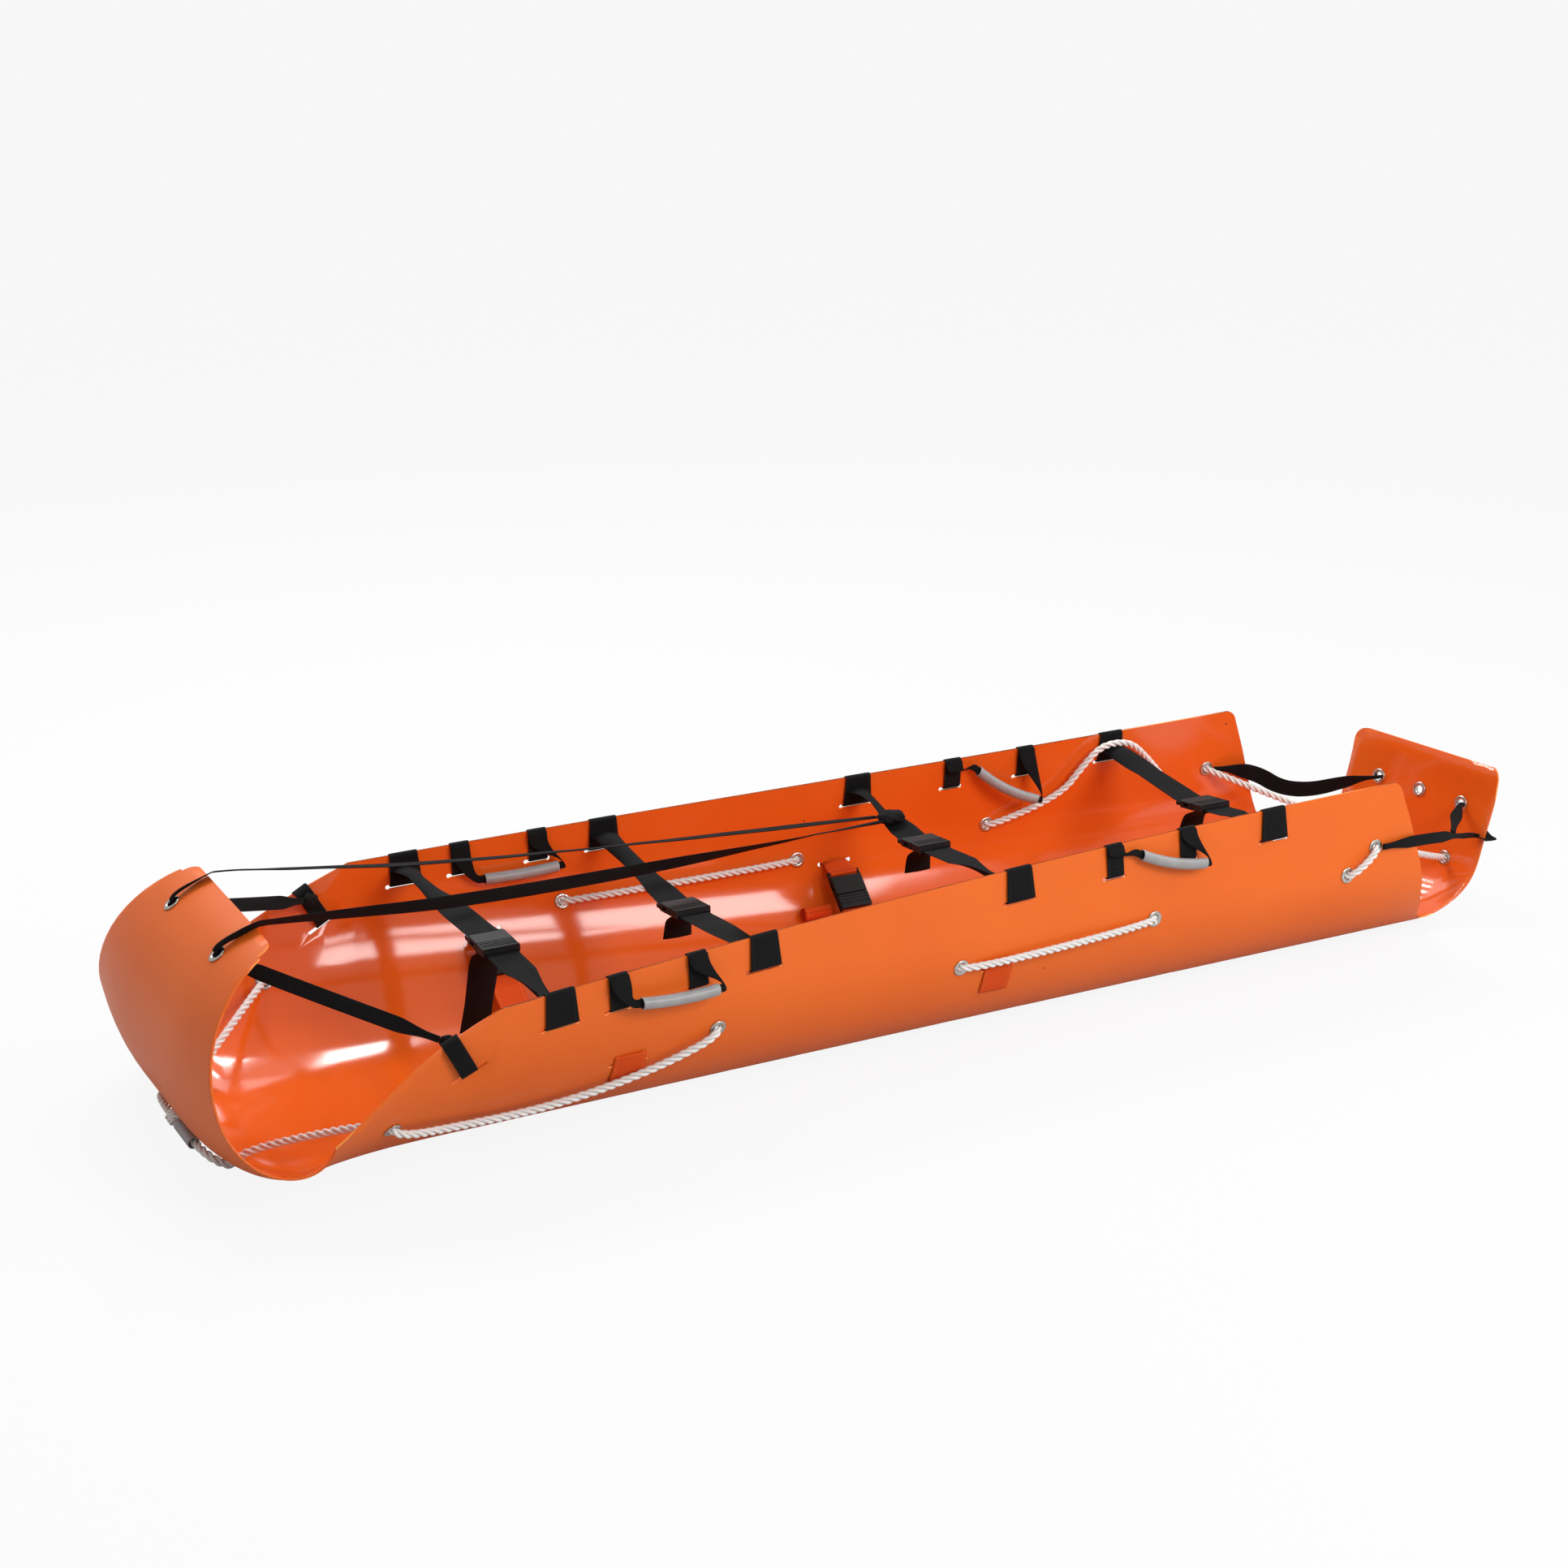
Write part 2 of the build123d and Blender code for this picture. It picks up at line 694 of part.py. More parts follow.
def anchor(x, side):
    """Where a cross strap leaves its ring, as sideways and height."""
    here = above(wall_frame(x, strap_leave, side), -ring_radius)
    return here.Y, here.Z


def far_half(x, shapes, bar, start, name):
    """A strap's far half: its last run ends in a fold round the socket's bar."""
    away = Vector(start[0] - bar.Y, start[1] - bar.Z).normalized()
    run = band(x, [start, (bar.Y + fold * away.X, bar.Z + fold * away.Y)], webbing_width)
    with BuildPart() as strap_far:
        add(shapes + [run])
        with BuildSketch(Plane(Vector(x, bar.Y, bar.Z), x_dir=(0, 1, 0), z_dir=(1, 0, 0))):
            Circle(fold + webbing_thickness / 2)
            Circle(fold - webbing_thickness / 2, mode=Mode.SUBTRACT)
        extrude(amount=webbing_width / 2, both=True)
        # The fold is open round the bar, so the straight run stops at its outside
        with Locations(Location((x, bar.Y, bar.Z), (0, 90, 0))):
            Cylinder(fold - webbing_thickness / 2, webbing_width, mode=Mode.SUBTRACT)
    finish(strap_far, name)


plug_start = plug_gap + grip_rib
for index, (x, y, z) in enumerate(zip(strap_stations, buckle_y, buckle_z), start=1):
    near, far = anchor(x, -1), anchor(x, 1)
    frame = buckle_plane(x, y, z, near)
    bar = frame.from_local_coords(Vector(0, bar_y, prong_z))
    start = frame.from_local_coords(Vector(0, plug_start, 0))
    near_shapes = [ring(rim_ring_plane(x, -1), webbing_width, ring_drop),
                   band(x, [near, (start.Y, start.Z)], webbing_width)]
    with BuildPart() as strap_near:
        add(near_shapes)
    finish(strap_near, f"strap_{index}_near")
    far_half(x, [ring(rim_ring_plane(x, 1), webbing_width, ring_drop)], bar, far, f"strap_{index}_far")
    placed(socket.part, frame, f"socket_{index}")
    placed(plug.part, frame, f"plug_{index}")
    under = body_low - webbing_thickness / 2 - clearance
    tail_start = [frame.from_local_coords(Vector(0, reach, under))
                  for reach in (plug_gap + plug_length, plug_gap)]
    tail_points = [(point.Y, point.Z) for point in tail_start] + [
        (y + across_step, z - fall) for across_step, fall in tail_steps[index - 1]]
    tail = band(x, tail_points, webbing_width)
    placed(tail, Plane.XY, f"strap_tail_{index}")
    print("plug", index, frame.origin, frame.y_dir)


# Carry handles: two rings round the rim, and a webbing grip with a tube that hangs from them

def handle_plane(x, span, side):
    """Frame on a handle's hinge line: x along the rim, y up the wall, z to the near side."""
    ends = [trough_point(x + end * span, side * (half_girth - ring_sink)) for end in (-1, 1)]
    low = trough_point(x, side * (half_girth - ring_drop))
    middle = (ends[0] + ends[1]) * 0.5
    along = (ends[1] - ends[0]).normalized()
    return Plane(middle, x_dir=along, z_dir=along.cross(middle - low))


grip_depth = ring_radius + webbing_thickness + hinge_gap


def handle_grip(span, shift, drop, tilt):
    """Webbing of a grip: two flat arms, and the folded core that the tube slides over."""
    slope = -math.radians(tilt)
    arms = []
    for end in (-1, 1):
        corners = [(end * span - handle_webbing / 2, 0), (end * span + handle_webbing / 2, 0)]
        inner = tube_length / 2 + grip_tip_gap
        outer = inner + grip_tip
        for reach, up in ((inner, 1), (outer, 1), (outer, -1)):
            out, rise = end * reach, up * grip_core_width / 2
            corners.append((shift + out * math.cos(slope) - rise * math.sin(slope),
                            -drop + out * math.sin(slope) + rise * math.cos(slope)))
        arms.append(corners)
    with BuildPart() as grip:
        for corners in arms:
            with BuildSketch(Plane.XY.offset(grip_depth)):
                with BuildLine():
                    Polyline(*corners)
                make_hull()
            extrude(amount=webbing_thickness / 2, both=True)
        with Locations(Location((shift, -drop, grip_depth), (0, 0, -tilt))):
            Box(tube_length + 2 * (grip_tip_gap + grip_tip), grip_core_width, grip_core_height)
    return grip.part


with BuildPart() as sleeve:
    with BuildSketch(Plane.YZ.offset(-tube_length / 2)):
        Circle(tube_outer)
        Circle(tube_inner, mode=Mode.SUBTRACT)
    extrude(amount=tube_length)

for index, (x, span) in enumerate(zip(handle_stations, handle_half_span), start=1):
    for side, word in ((-1, "near"), (1, "far")):
        plane = handle_plane(x, span, side)
        shift, drop, tilt, lean = handle_hang[(index, word)]
        rings = []
        for end in (-1, 1):
            centre = plane.from_local_coords(Vector(end * span, 0, 0))
            low = trough_point(centre.X, side * (half_girth - ring_sink - ring_drop))
            rings.append(ring(edge_ring_plane(centre, low, plane.x_dir), handle_webbing, ring_drop))
        with BuildPart() as loops:
            add(rings)
        finish(loops, f"handle_loops_{index}_{word}")
        hung = turned(plane, about_x=-lean)
        placed(handle_grip(span, shift, drop, tilt), hung, f"handle_grip_{index}_{word}")
        tube_plane = Plane(hung.from_local_coords(Vector(shift, -drop, grip_depth)),
                           x_dir=hung.x_dir, z_dir=hung.z_dir)
        placed(sleeve.part, turned(tube_plane, about_z=-tilt), f"handle_tube_{index}_{word}")
        print("grip", index, word, plane.origin, -plane.x_dir)

# Narrow ties: from each taper slit through the curl's grommet and along the trough to strap 3
knot_strap = strap_stations[2]
tie_frame = buckle_plane(knot_strap, buckle_y[2], buckle_z[2], anchor(knot_strap, -1))
knot_bar = tie_frame.from_local_coords(Vector(0, bar_y, prong_z))
knot_anchor = anchor(knot_strap, 1)
share = (tie_knot_y - knot_bar.Y) / (knot_anchor[0] - knot_bar.Y)
strap_point = Vector(knot_strap - 8, tie_knot_y, knot_bar.Z + share * (knot_anchor[1] - knot_bar.Z))
strap_slope = Vector(0, knot_anchor[0] - knot_bar.Y, knot_anchor[1] - knot_bar.Z)
knot_plane = Plane(strap_point, x_dir=(1, 0, 0), z_dir=Vector(1, 0, 0).cross(strap_slope))
knot_plane = knot_plane.offset(webbing_thickness / 2 + clearance + tie_knot_size[2] / 2)
with BuildPart() as tie_knot:
    with Locations(knot_plane.location):
        Box(*tie_knot_size)
    fillet(tie_knot.edges(), radius=knot_round)
finish(tie_knot, "tie_knot")
bore_shift = grommet_bore - tie_radius - clearance
tie_inner = half + tie_ring_gap
tie_sink = math.sqrt((tie_inner - tie_edge_play - clearance) ** 2 - half ** 2)
for side, word, slit_frame, edge_point, hole in zip((-1, 1), ("near", "far"), tie_slits, tie_edges,
                                                    curl_holes):
    away = (edge_point - slit_frame.origin).normalized()
    centre = edge_point - away * tie_sink
    drop = (centre - slit_frame.origin).length - tie_inner - webbing_thickness / 2
    plane = edge_ring_plane(centre, slit_frame.origin, slit_frame.x_dir)
    if plane.x_dir.dot(slit_frame.z_dir) < 0:
        plane = Plane(centre, x_dir=-plane.x_dir, z_dir=-plane.z_dir)
    lump = plane.from_local_coords(Vector(-tie_inner - tie_lump[2] / 2, -tie_lump[1] / 2, 0))
    toward = (above(hole, -tie_stand) - lump).normalized()
    lump_frame = Plane(lump, x_dir=toward, z_dir=plane.x_dir - toward * plane.x_dir.dot(toward))
    with BuildPart() as lump_part:
        with Locations(lump_frame.location):
            Box(*tie_lump)
        fillet(lump_part.edges(), radius=knot_round)
    loop_part = ring(plane, tie_width, drop, tie_inner)
    with BuildPart() as side_tie:
        add(loop_part)
        add(lump_part)
    finish(side_tie, f"tie_ring_{word}")
    edge_frame = curl_frame(curl_length - 2, side * (curl_hole_girth + 4))
    end = knot_plane.from_local_coords(Vector(-tie_knot_size[0] / 2 - 3 * clearance, side * 9, 0))
    points = [lump + toward * (tie_lump[0] / 2 + clearance)] + through(hole, tie_stand, up=bore_shift) + [
        above(edge_frame, 8), above(edge_frame, 6, along=16), Vector(-560, side * 72 + 16, 299), end]
    tube = cord(points, tie_radius, f"tie_{word}")
    with BuildPart() as tie:
        add(tube)
    finish(tie, f"tie_{word}")

# End straps: from the last grommet of each side row to the end flap's upper grommets
near_f, near_hole = row_frames[-1]["f"], flap_holes[0]
edge_frame = flap_frame(flap_length - 118, -flap_half)
off_edge = frame_side(edge_frame, -1)
strap_reach = [above(near_f, 13, along=104), above(edge_frame, -10, up=-off_edge * 16)]
points = [above(near_f, 8, along=10.5)] + strap_reach + [
    above(edge_frame, -10, up=off_edge * 10), above(edge_frame, 10, up=off_edge * 10),
    above(edge_frame, 13, up=-off_edge * 16), above(near_hole, tie_stand, up=bore_shift),
    above(near_hole, -tie_stand, up=bore_shift),
    strap_reach[0] + (strap_reach[1] - strap_reach[0]) * 0.6 + Vector(-3, 6, 6)]
tube = cord(points, tie_radius, "end_strap_near")
with BuildPart() as end_strap_near:
    add(tube)
finish(end_strap_near, "end_strap_near")
far_f, far_hole = row_frames[1]["f"], flap_holes[2]
points = [above(far_f, -8, along=10.5), above(far_f, -22, along=70), Vector(960, 172, 142),
          above(far_hole, -40, up=bore_shift), above(far_hole, tie_stand, up=bore_shift)]
tube = cord(points, tie_radius, "end_strap_far")
with BuildPart() as end_strap_far:
    add(tube)
    with Locations(above(far_hole, tie_stand + 2, up=bore_shift)):
        Sphere(9)
finish(end_strap_far, "end_strap_far")

# Roll-up straps: sewn outside each wall, through a slit, joined by a buckle inside the far wall
for index, x in enumerate(roll_stations, start=1):
    flat, radius, turn, straight = trough_section(x)
    centre_z = radius + half
    slit_angle, low_angle, top_angle = [
        (half_girth - drop - flat) / radius for drop in (roll_slit_drop, roll_patch_bottom, roll_patch_top)]
    inner, outer = radius - roll_lie, radius + roll_lie

    def arc_point(reach, angle, side):
        return (side * (flat + reach * math.sin(angle)), centre_z - reach * math.cos(angle))

    wall_bar = arc_point(radius - roll_bar_depth, slit_angle - roll_bar_fall / radius, 1)
    toward = (flat + roll_toward, half + roll_lie)
    at_bar = buckle_plane(x, *wall_bar, toward)
    origin = at_bar.from_local_coords(Vector(0, -bar_y, -prong_z))
    frame = Plane(origin, x_dir=at_bar.x_dir, z_dir=at_bar.z_dir)
    bar = frame.from_local_coords(Vector(0, bar_y, prong_z))
    start = frame.from_local_coords(Vector(0, plug_start, 0))
    stop = frame.from_local_coords(Vector(0, plug_gap + plug_length + roll_rise, 0))
    with BuildPart() as roll_near:
        with BuildSketch(station_plane(x)):
            with BuildLine() as line:
                ThreePointArc(arc_point(outer, low_angle, -1), arc_point(outer, slit_angle, -1),
                              arc_point(outer, top_angle, -1))
                Line(arc_point(outer, slit_angle, -1), arc_point(inner, slit_angle, -1))
                ThreePointArc(arc_point(inner, slit_angle, -1), arc_point(inner, slit_angle / 2, -1),
                              arc_point(inner, 0, -1))
                Line(arc_point(inner, 0, -1), (flat - roll_floor_reach, centre_z - inner))
                Line((flat - roll_floor_reach, centre_z - inner), (stop.Y, stop.Z))
                Line((stop.Y, stop.Z), (start.Y, start.Z))
            trace(line.edges(), line_width=webbing_thickness)
        extrude(amount=roll_width / 2, both=True)
    finish(roll_near, f"roll_strap_{index}_near")
    slit_inner = arc_point(inner, slit_angle, 1)
    with BuildPart() as roll_patch_far:
        with BuildSketch(station_plane(x)):
            with BuildLine() as line:
                ThreePointArc(arc_point(outer, low_angle, 1), arc_point(outer, slit_angle, 1),
                              arc_point(outer, top_angle, 1))
                Line(arc_point(outer, slit_angle, 1), slit_inner)
            trace(line.edges(), line_width=webbing_thickness)
        extrude(amount=roll_width / 2, both=True)
    far_half(x, [roll_patch_far.part], bar, slit_inner, f"roll_strap_{index}_far")
    placed(socket.part, frame, f"roll_socket_{index}")
    placed(plug.part, frame, f"roll_plug_{index}")
    print("roll_plug", index, frame.origin, frame.y_dir)

# The loose end of the second roll-up strap, rolled into a coil beside its buckle
coil_x = roll_stations[1] - coil_shift
flat, radius, turn, straight = trough_section(coil_x)
coil_reach = radius - half - coil_radius - clearance - coil_play
coil_turn = math.radians(coil_angle)
coil_start = Vector(coil_x - roll_width / 2, flat + coil_reach * math.sin(coil_turn),
                    radius + half - coil_reach * math.cos(coil_turn))
with BuildPart() as roll_coil:
    with BuildSketch(Plane(coil_start, z_dir=(1, 0, 0))):
        Circle(coil_radius)
    extrude(amount=roll_width)
finish(roll_coil, "roll_coil")
print("free grommet", flap_holes[1].origin, flap_holes[1].z_dir)
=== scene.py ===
# %% [markdown]
# A roll-up rescue stretcher: one bent orange sheet, laced with rope and strapped with webbing.
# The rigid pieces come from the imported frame. Everything soft is modelled here on top of it,
# in metres and in the same place, so this cell loads the frame and keeps its size.

# %% Load the frame
import math
import bmesh
import bpy
import numpy as np
from mathutils import Matrix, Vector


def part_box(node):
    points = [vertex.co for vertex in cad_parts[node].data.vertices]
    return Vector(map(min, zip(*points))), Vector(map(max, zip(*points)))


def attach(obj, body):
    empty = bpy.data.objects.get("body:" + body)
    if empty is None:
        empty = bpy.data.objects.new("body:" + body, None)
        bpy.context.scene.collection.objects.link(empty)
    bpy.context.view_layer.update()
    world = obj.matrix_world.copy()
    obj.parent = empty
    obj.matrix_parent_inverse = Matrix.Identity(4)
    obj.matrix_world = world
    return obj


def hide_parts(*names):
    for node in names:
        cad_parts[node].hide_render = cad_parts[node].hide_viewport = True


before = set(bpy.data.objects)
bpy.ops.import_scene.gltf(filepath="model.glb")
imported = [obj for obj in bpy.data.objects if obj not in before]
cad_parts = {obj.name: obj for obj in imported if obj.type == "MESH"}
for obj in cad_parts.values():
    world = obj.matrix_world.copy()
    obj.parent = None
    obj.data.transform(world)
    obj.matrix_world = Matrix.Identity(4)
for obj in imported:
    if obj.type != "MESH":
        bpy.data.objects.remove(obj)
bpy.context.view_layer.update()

# %% [markdown]
# The sheet is bent from one flat rectangle. Its middle surface is a formula of two distances:
# how far along the length, and how far round the girth from the centre line. Holes, slits and
# ropes are all placed by those two distances, as a maker would measure them on the flat sheet.
# They could be placed by eye in space instead, but then a new size would leave them behind.

# %% Driving sizes of the sheet
half = 0.0015
half_girth = 0.460
floor_half = 0.080
corner_x = -0.708
wall_end_x = 0.850
lean_left, lean_middle, lean_right = 88.0, 96.5, 93.5
straight_left, straight_right = 0.030, 0.140
curl_start_x = -0.950
curl_radius_low, curl_radius_high = 0.155, 0.190
curl_turn_high = 73.0
curl_yaw = 1.6
curl_end_half = 0.1763
curl_relax = 7.7
flap_start_x = 0.979
flap_radius = 0.103
flap_turn = 79.5
flap_run = 0.173
flap_yaw = 8.9
flap_half = 0.157
flap_relax = 35.0
curl_floor = corner_x - curl_start_x
curl_quarter = curl_radius_low * math.pi / 2
curl_length = curl_floor + curl_quarter + curl_radius_high * math.radians(curl_turn_high)
taper_rate = (half_girth - curl_end_half) / curl_length
flap_bend = flap_radius * math.radians(flap_turn)
flap_length = flap_bend + flap_run
print("curl", round(curl_length, 3), "m long, flap", round(flap_length, 3), "m long")


# %% Surface formulas
def unit(vector):
    """A vector, or rows of vectors, divided by their length."""
    return vector / np.linalg.norm(vector, axis=-1, keepdims=True)


def trough_section(x):
    """Flat half width, corner radius, turn in radians and straight wall top at x."""
    share = (x - corner_x) / (wall_end_x - corner_x)
    lean = (lean_left * (1 - share) * (1 - 2 * share) + lean_middle * 4 * share * (1 - share)
            + lean_right * share * (2 * share - 1))
    straight = straight_left + (straight_right - straight_left) * share
    turn = np.radians(lean)
    return floor_half, (half_girth - floor_half - straight) / turn, turn


def across(flat, radius, turn, girth):
    """Sideways distance and rise at a girth distance: flat, then an arc, then straight."""
    far = np.abs(girth)
    angle = np.clip((far - flat) / radius, 0, turn)
    rest = np.maximum(far - flat - radius * angle, 0)
    side = np.minimum(far, flat) + radius * np.sin(angle) + rest * np.cos(angle)
    return np.copysign(side, girth), radius * (1 - np.cos(angle)) + rest * np.sin(angle)


def trough_point(x, girth):
    """Point on the trough's middle surface."""
    side, rise = across(*trough_section(x), girth)
    return np.array((x, side, rise + half))


def bent_point(middle, section, yaw, angle, toward, girth):
    """Point of a curled end: the section stands square to the centre line, turned by yaw."""
    side, rise = across(*section, girth)
    sideways = np.array((-math.sin(yaw), math.cos(yaw), 0))
    lean = math.sin(angle) * toward
    inward = np.array((lean * math.cos(yaw), lean * math.sin(yaw), math.cos(angle)))
    return middle + side * sideways + rise * inward


def curl_point(run, girth):
    """Point on the curl: flat, then a quarter turn, then a wider turn back over the trough."""
    flat, radius, _ = trough_section(corner_x)
    radius += curl_relax * run ** 3
    edge = half_girth - taper_rate * run
    section = flat, radius, (edge - flat - straight_left) / radius
    if run <= curl_floor:
        middle, angle = (corner_x - run, 0, half), 0.0
    elif run <= curl_floor + curl_quarter:
        angle = (run - curl_floor) / curl_radius_low
        middle = (curl_start_x - curl_radius_low * math.sin(angle), 0,
                  curl_radius_low * (1 - math.cos(angle)) + half)
    else:
        more = (run - curl_floor - curl_quarter) / curl_radius_high
        angle = math.pi / 2 + more
        middle = (curl_start_x - curl_radius_low + curl_radius_high * (1 - math.cos(more)), 0,
                  curl_radius_low + curl_radius_high * math.sin(more) + half)
    share = min(max(0.0, (run - curl_floor) / (curl_length - curl_floor)), 1.0)
    yaw = math.radians(curl_yaw) * math.sin(math.pi * share)
    return bent_point(np.array(middle), section, yaw, angle, 1, girth)


def flap_point(run, girth):
    """Point on the end flap: one bend up, then straight."""
    flat, radius, _ = trough_section(flap_start_x)
    radius += flap_relax * run ** 3
    angle = min(run / flap_radius, math.radians(flap_turn))
    rest = max(run - flap_bend, 0)
    middle = (flap_start_x + flap_radius * math.sin(angle) + rest * math.cos(angle), 0,
              flap_radius * (1 - math.cos(angle)) + rest * math.sin(angle) + half)
    yaw = math.radians(flap_yaw) * math.sin(angle)
    section = flat, radius, (flap_half - flat) / radius
    return bent_point(np.array(middle), section, yaw, angle, -1, girth)


print("rim at mid length", np.round(trough_point(0.0, half_girth), 3))

# %% [markdown]
# A hole, a rope or a strap needs to know where it sits and which way the sheet faces there. Each
# such place is a small frame: a point and three directions. The two slopes of the surface formula
# give it, and a point inside the bend tells which side of the sheet is the inside.

# %% Frames on the sheet
axis_height = 0.20
curl_inside = (curl_start_x + 0.06, 0, 0.19)
flap_inside = (flap_start_x - 0.1, 0, 0.26)


def surface_frame(point, run, girth, inside):
    """Rows: a point, then x along the length, y round the girth and z away from the inside."""
    step = 0.001
    along = unit(point(run + step, girth) - point(run - step, girth))
    round_it = point(run, girth + step) - point(run, girth - step)
    outward = unit(np.cross(along, round_it))
    here = point(run, girth)
    if outward @ (np.array(inside) - here) > 0:
        outward = -outward
    return np.array((here, along, np.cross(outward, along), outward))


def wall_frame(x, drop, side):
    """Frame on the wall at x, at a drop below the rim measured on the sheet."""
    return surface_frame(trough_point, x, side * (half_girth - drop), (x, 0, axis_height))


def curl_frame(run, girth):
    """Frame on the curl, at a run past its start."""
    return surface_frame(curl_point, run, girth, curl_inside)


def flap_frame(run, girth):
    """Frame on the end flap, at a run past its start."""
    return surface_frame(flap_point, run, girth, flap_inside)


def above(place, height, along=0.0, up=0.0):
    """A point off a frame's origin, by its own three directions."""
    return place[0] + along * place[1] + up * place[2] + height * place[3]


def through(place, stand, outward=True, up=0.0):
    """Two points of a cord that passes through a hole."""
    ends = [above(place, -stand, up=up), above(place, stand, up=up)]
    return ends if outward else ends[::-1]


row_places = {"b": (-0.378, 0.124), "c": (0.026, 0.130), "d": (0.376, 0.130), "e": (0.756, 0.136),
              "f": (0.812, 0.100)}
curl_rows = {"a": (0.148, 0.308), "h": (0.318, 0.120)}
flap_row = flap_length - 0.174, 0.082
curl_end_row = curl_length - 0.061, 0.105
flap_end_row = flap_length - 0.075, 0.090
rows = {}
for side in (-1, 1):
    rows[side] = {key: wall_frame(x, drop, side) for key, (x, drop) in row_places.items()}
    for key, (run, girth) in curl_rows.items():
        rows[side][key] = curl_frame(run, side * girth)
    rows[side]["g"] = flap_frame(flap_row[0], side * flap_row[1])
curl_holes = [curl_frame(curl_end_row[0], side * curl_end_row[1]) for side in (-1, 1)]
flap_holes = [flap_frame(flap_end_row[0], side * flap_end_row[1]) for side in (-1, 0, 1)]
print("holes", sum(len(row) for row in rows.values()) + len(curl_holes) + len(flap_holes))

# %% [markdown]
# A material is a small tree of shader nodes. Writing it as arithmetic keeps it readable, so a
# wire is wrapped in a class whose plus, minus and times add the matching Math node.


# %% Shader arithmetic
class Wire:
    """One output of a shader node. Arithmetic on it adds Math nodes to its paint."""

    def __init__(self, paint, socket):
        self.paint = paint
        self.socket = socket

    def math(self, operation, first, second=0.0):
        return self.paint.node("ShaderNodeMath", {"operation": operation}, {0: first, 1: second})

    def __add__(self, other):
        return self.math("ADD", self, other)

    __radd__ = __add__

    def __mul__(self, other):
        return self.math("MULTIPLY", self, other)

    __rmul__ = __mul__

    def __sub__(self, other):
        return self.math("SUBTRACT", self, other)

    def __rsub__(self, other):
        return self.math("SUBTRACT", other, self)

    def __lt__(self, other):
        return self.math("LESS_THAN", self, other)

    def __gt__(self, other):
        return self.math("GREATER_THAN", self, other)

    def __abs__(self):
        return self.math("ABSOLUTE", self)

    def sine(self):
        return self.math("SINE", self)

    def wrapped(self, length):
        """What is left after whole lengths are taken away."""
        return self.math("FLOORED_MODULO", self, length)


class Paint:
    """A material, or the world, under construction."""

    def __init__(self, name, kind="materials"):
        self.material = getattr(bpy.data, kind).new(name)
        self.material.use_nodes = True
        self.tree = self.material.node_tree
        self.tree.nodes.clear()

    def node(self, kind, settings, sockets, output=0):
        """Add a node: its settings first, then the values or wires of its sockets."""
        made = self.tree.nodes.new(kind)
        for key, value in settings.items():
            setattr(made, key, value)
        for key, value in sockets.items():
            if isinstance(value, Wire):
                self.tree.links.new(value.socket, made.inputs[key])
            else:
                made.inputs[key].default_value = value
        return Wire(self, made.outputs[output]) if made.outputs else made

    def place(self):
        """Object coordinates in metres."""
        return self.node("ShaderNodeTexCoord", {}, {}, "Object")

    def cloth(self):
        """The piece's own map: metres along it and metres across it."""
        where = self.node("ShaderNodeUVMap", {"uv_map": "cloth"}, {})
        parts = self.node("ShaderNodeSeparateXYZ", {}, {0: where}, "X")
        return parts, Wire(self, parts.socket.node.outputs["Y"])

    def noise(self, scale, detail=3.0, vector=None):
        return self.node("ShaderNodeTexNoise", {},
                         {"Vector": vector or self.place(), "Scale": scale, "Detail": detail})

    def mix(self, share, first, second):
        """Colour between two colours."""
        return self.node("ShaderNodeMix", {"data_type": "RGBA"}, {0: share, 6: first, 7: second}, 2)

    def finish(self, colour, roughness, height, depth, fixed):
        """Connect the shader: height in metres makes the bump."""
        normal = self.node("ShaderNodeBump", {}, {"Strength": 1.0, "Distance": depth, "Height": height})
        sockets = {"Base Color": colour, "Roughness": roughness, "Normal": normal, **fixed}
        shader = self.node("ShaderNodeBsdfPrincipled", {}, sockets)
        self.node("ShaderNodeOutputMaterial", {}, {"Surface": shader})
        return self.material


print("shader classes", Wire.__name__, "and", Paint.__name__)

# %% [markdown]
# The sheet is orange polyethylene. Outside it is satin with a fine grain, inside it is glossy,
# and its cut edges get a paler orange, a painted highlight of the light on them. It has fine
# scratches along its length, shallow waves from being rolled up and a few dark specks. All of
# that is noise read at the object's own size, where a painted image would stretch at the bends
# and blur close up.

# %% Sheet plastic
speck_colour, dust_colour = (0.10, 0.02, 0.01, 1), (1.0, 0.42, 0.14, 1)


def sheet_plastic(name, light, deep, gloss, shine, grain_share, wave_share):
    """Clouds of colour, dark specks, scratches that run lengthways, and a grain or waves as height."""
    paint = Paint(name)
    clouds = paint.noise(5.0)
    grain = paint.noise(650.0, 2.0)
    lengthways = {"Vector": paint.place(), "Scale": (2.0, 60.0, 60.0)}
    stretched = paint.node("ShaderNodeMapping", {}, lengthways)
    scratches = paint.noise(9.0, 5.0, stretched)
    waves = paint.noise(6.5, 1.0)
    cells = paint.node("ShaderNodeTexVoronoi", {}, {"Vector": paint.place(), "Scale": 15.0}, "Distance")
    specks = (cells < 0.030) * (paint.noise(4.0, 1.0) > 0.50)
    dust = (paint.noise(1300.0, 1.0) > 0.74) * (paint.noise(11.0) > 0.56)
    base = paint.mix(clouds + 0.25 * scratches - 0.12, deep, light)
    dusty = paint.mix(dust * (0.35 * grain_share), base, dust_colour)
    colour = paint.mix(specks * 0.75, dusty, speck_colour)
    roughness = gloss + gloss * (0.35 * scratches + 0.15 * grain)
    height = grain_share * 1.5 * grain + 0.25 * scratches + wave_share * 8.0 * waves
    return paint.finish(colour, roughness, height, 0.00012, {"IOR": 1.5, "Specular IOR Level": shine})


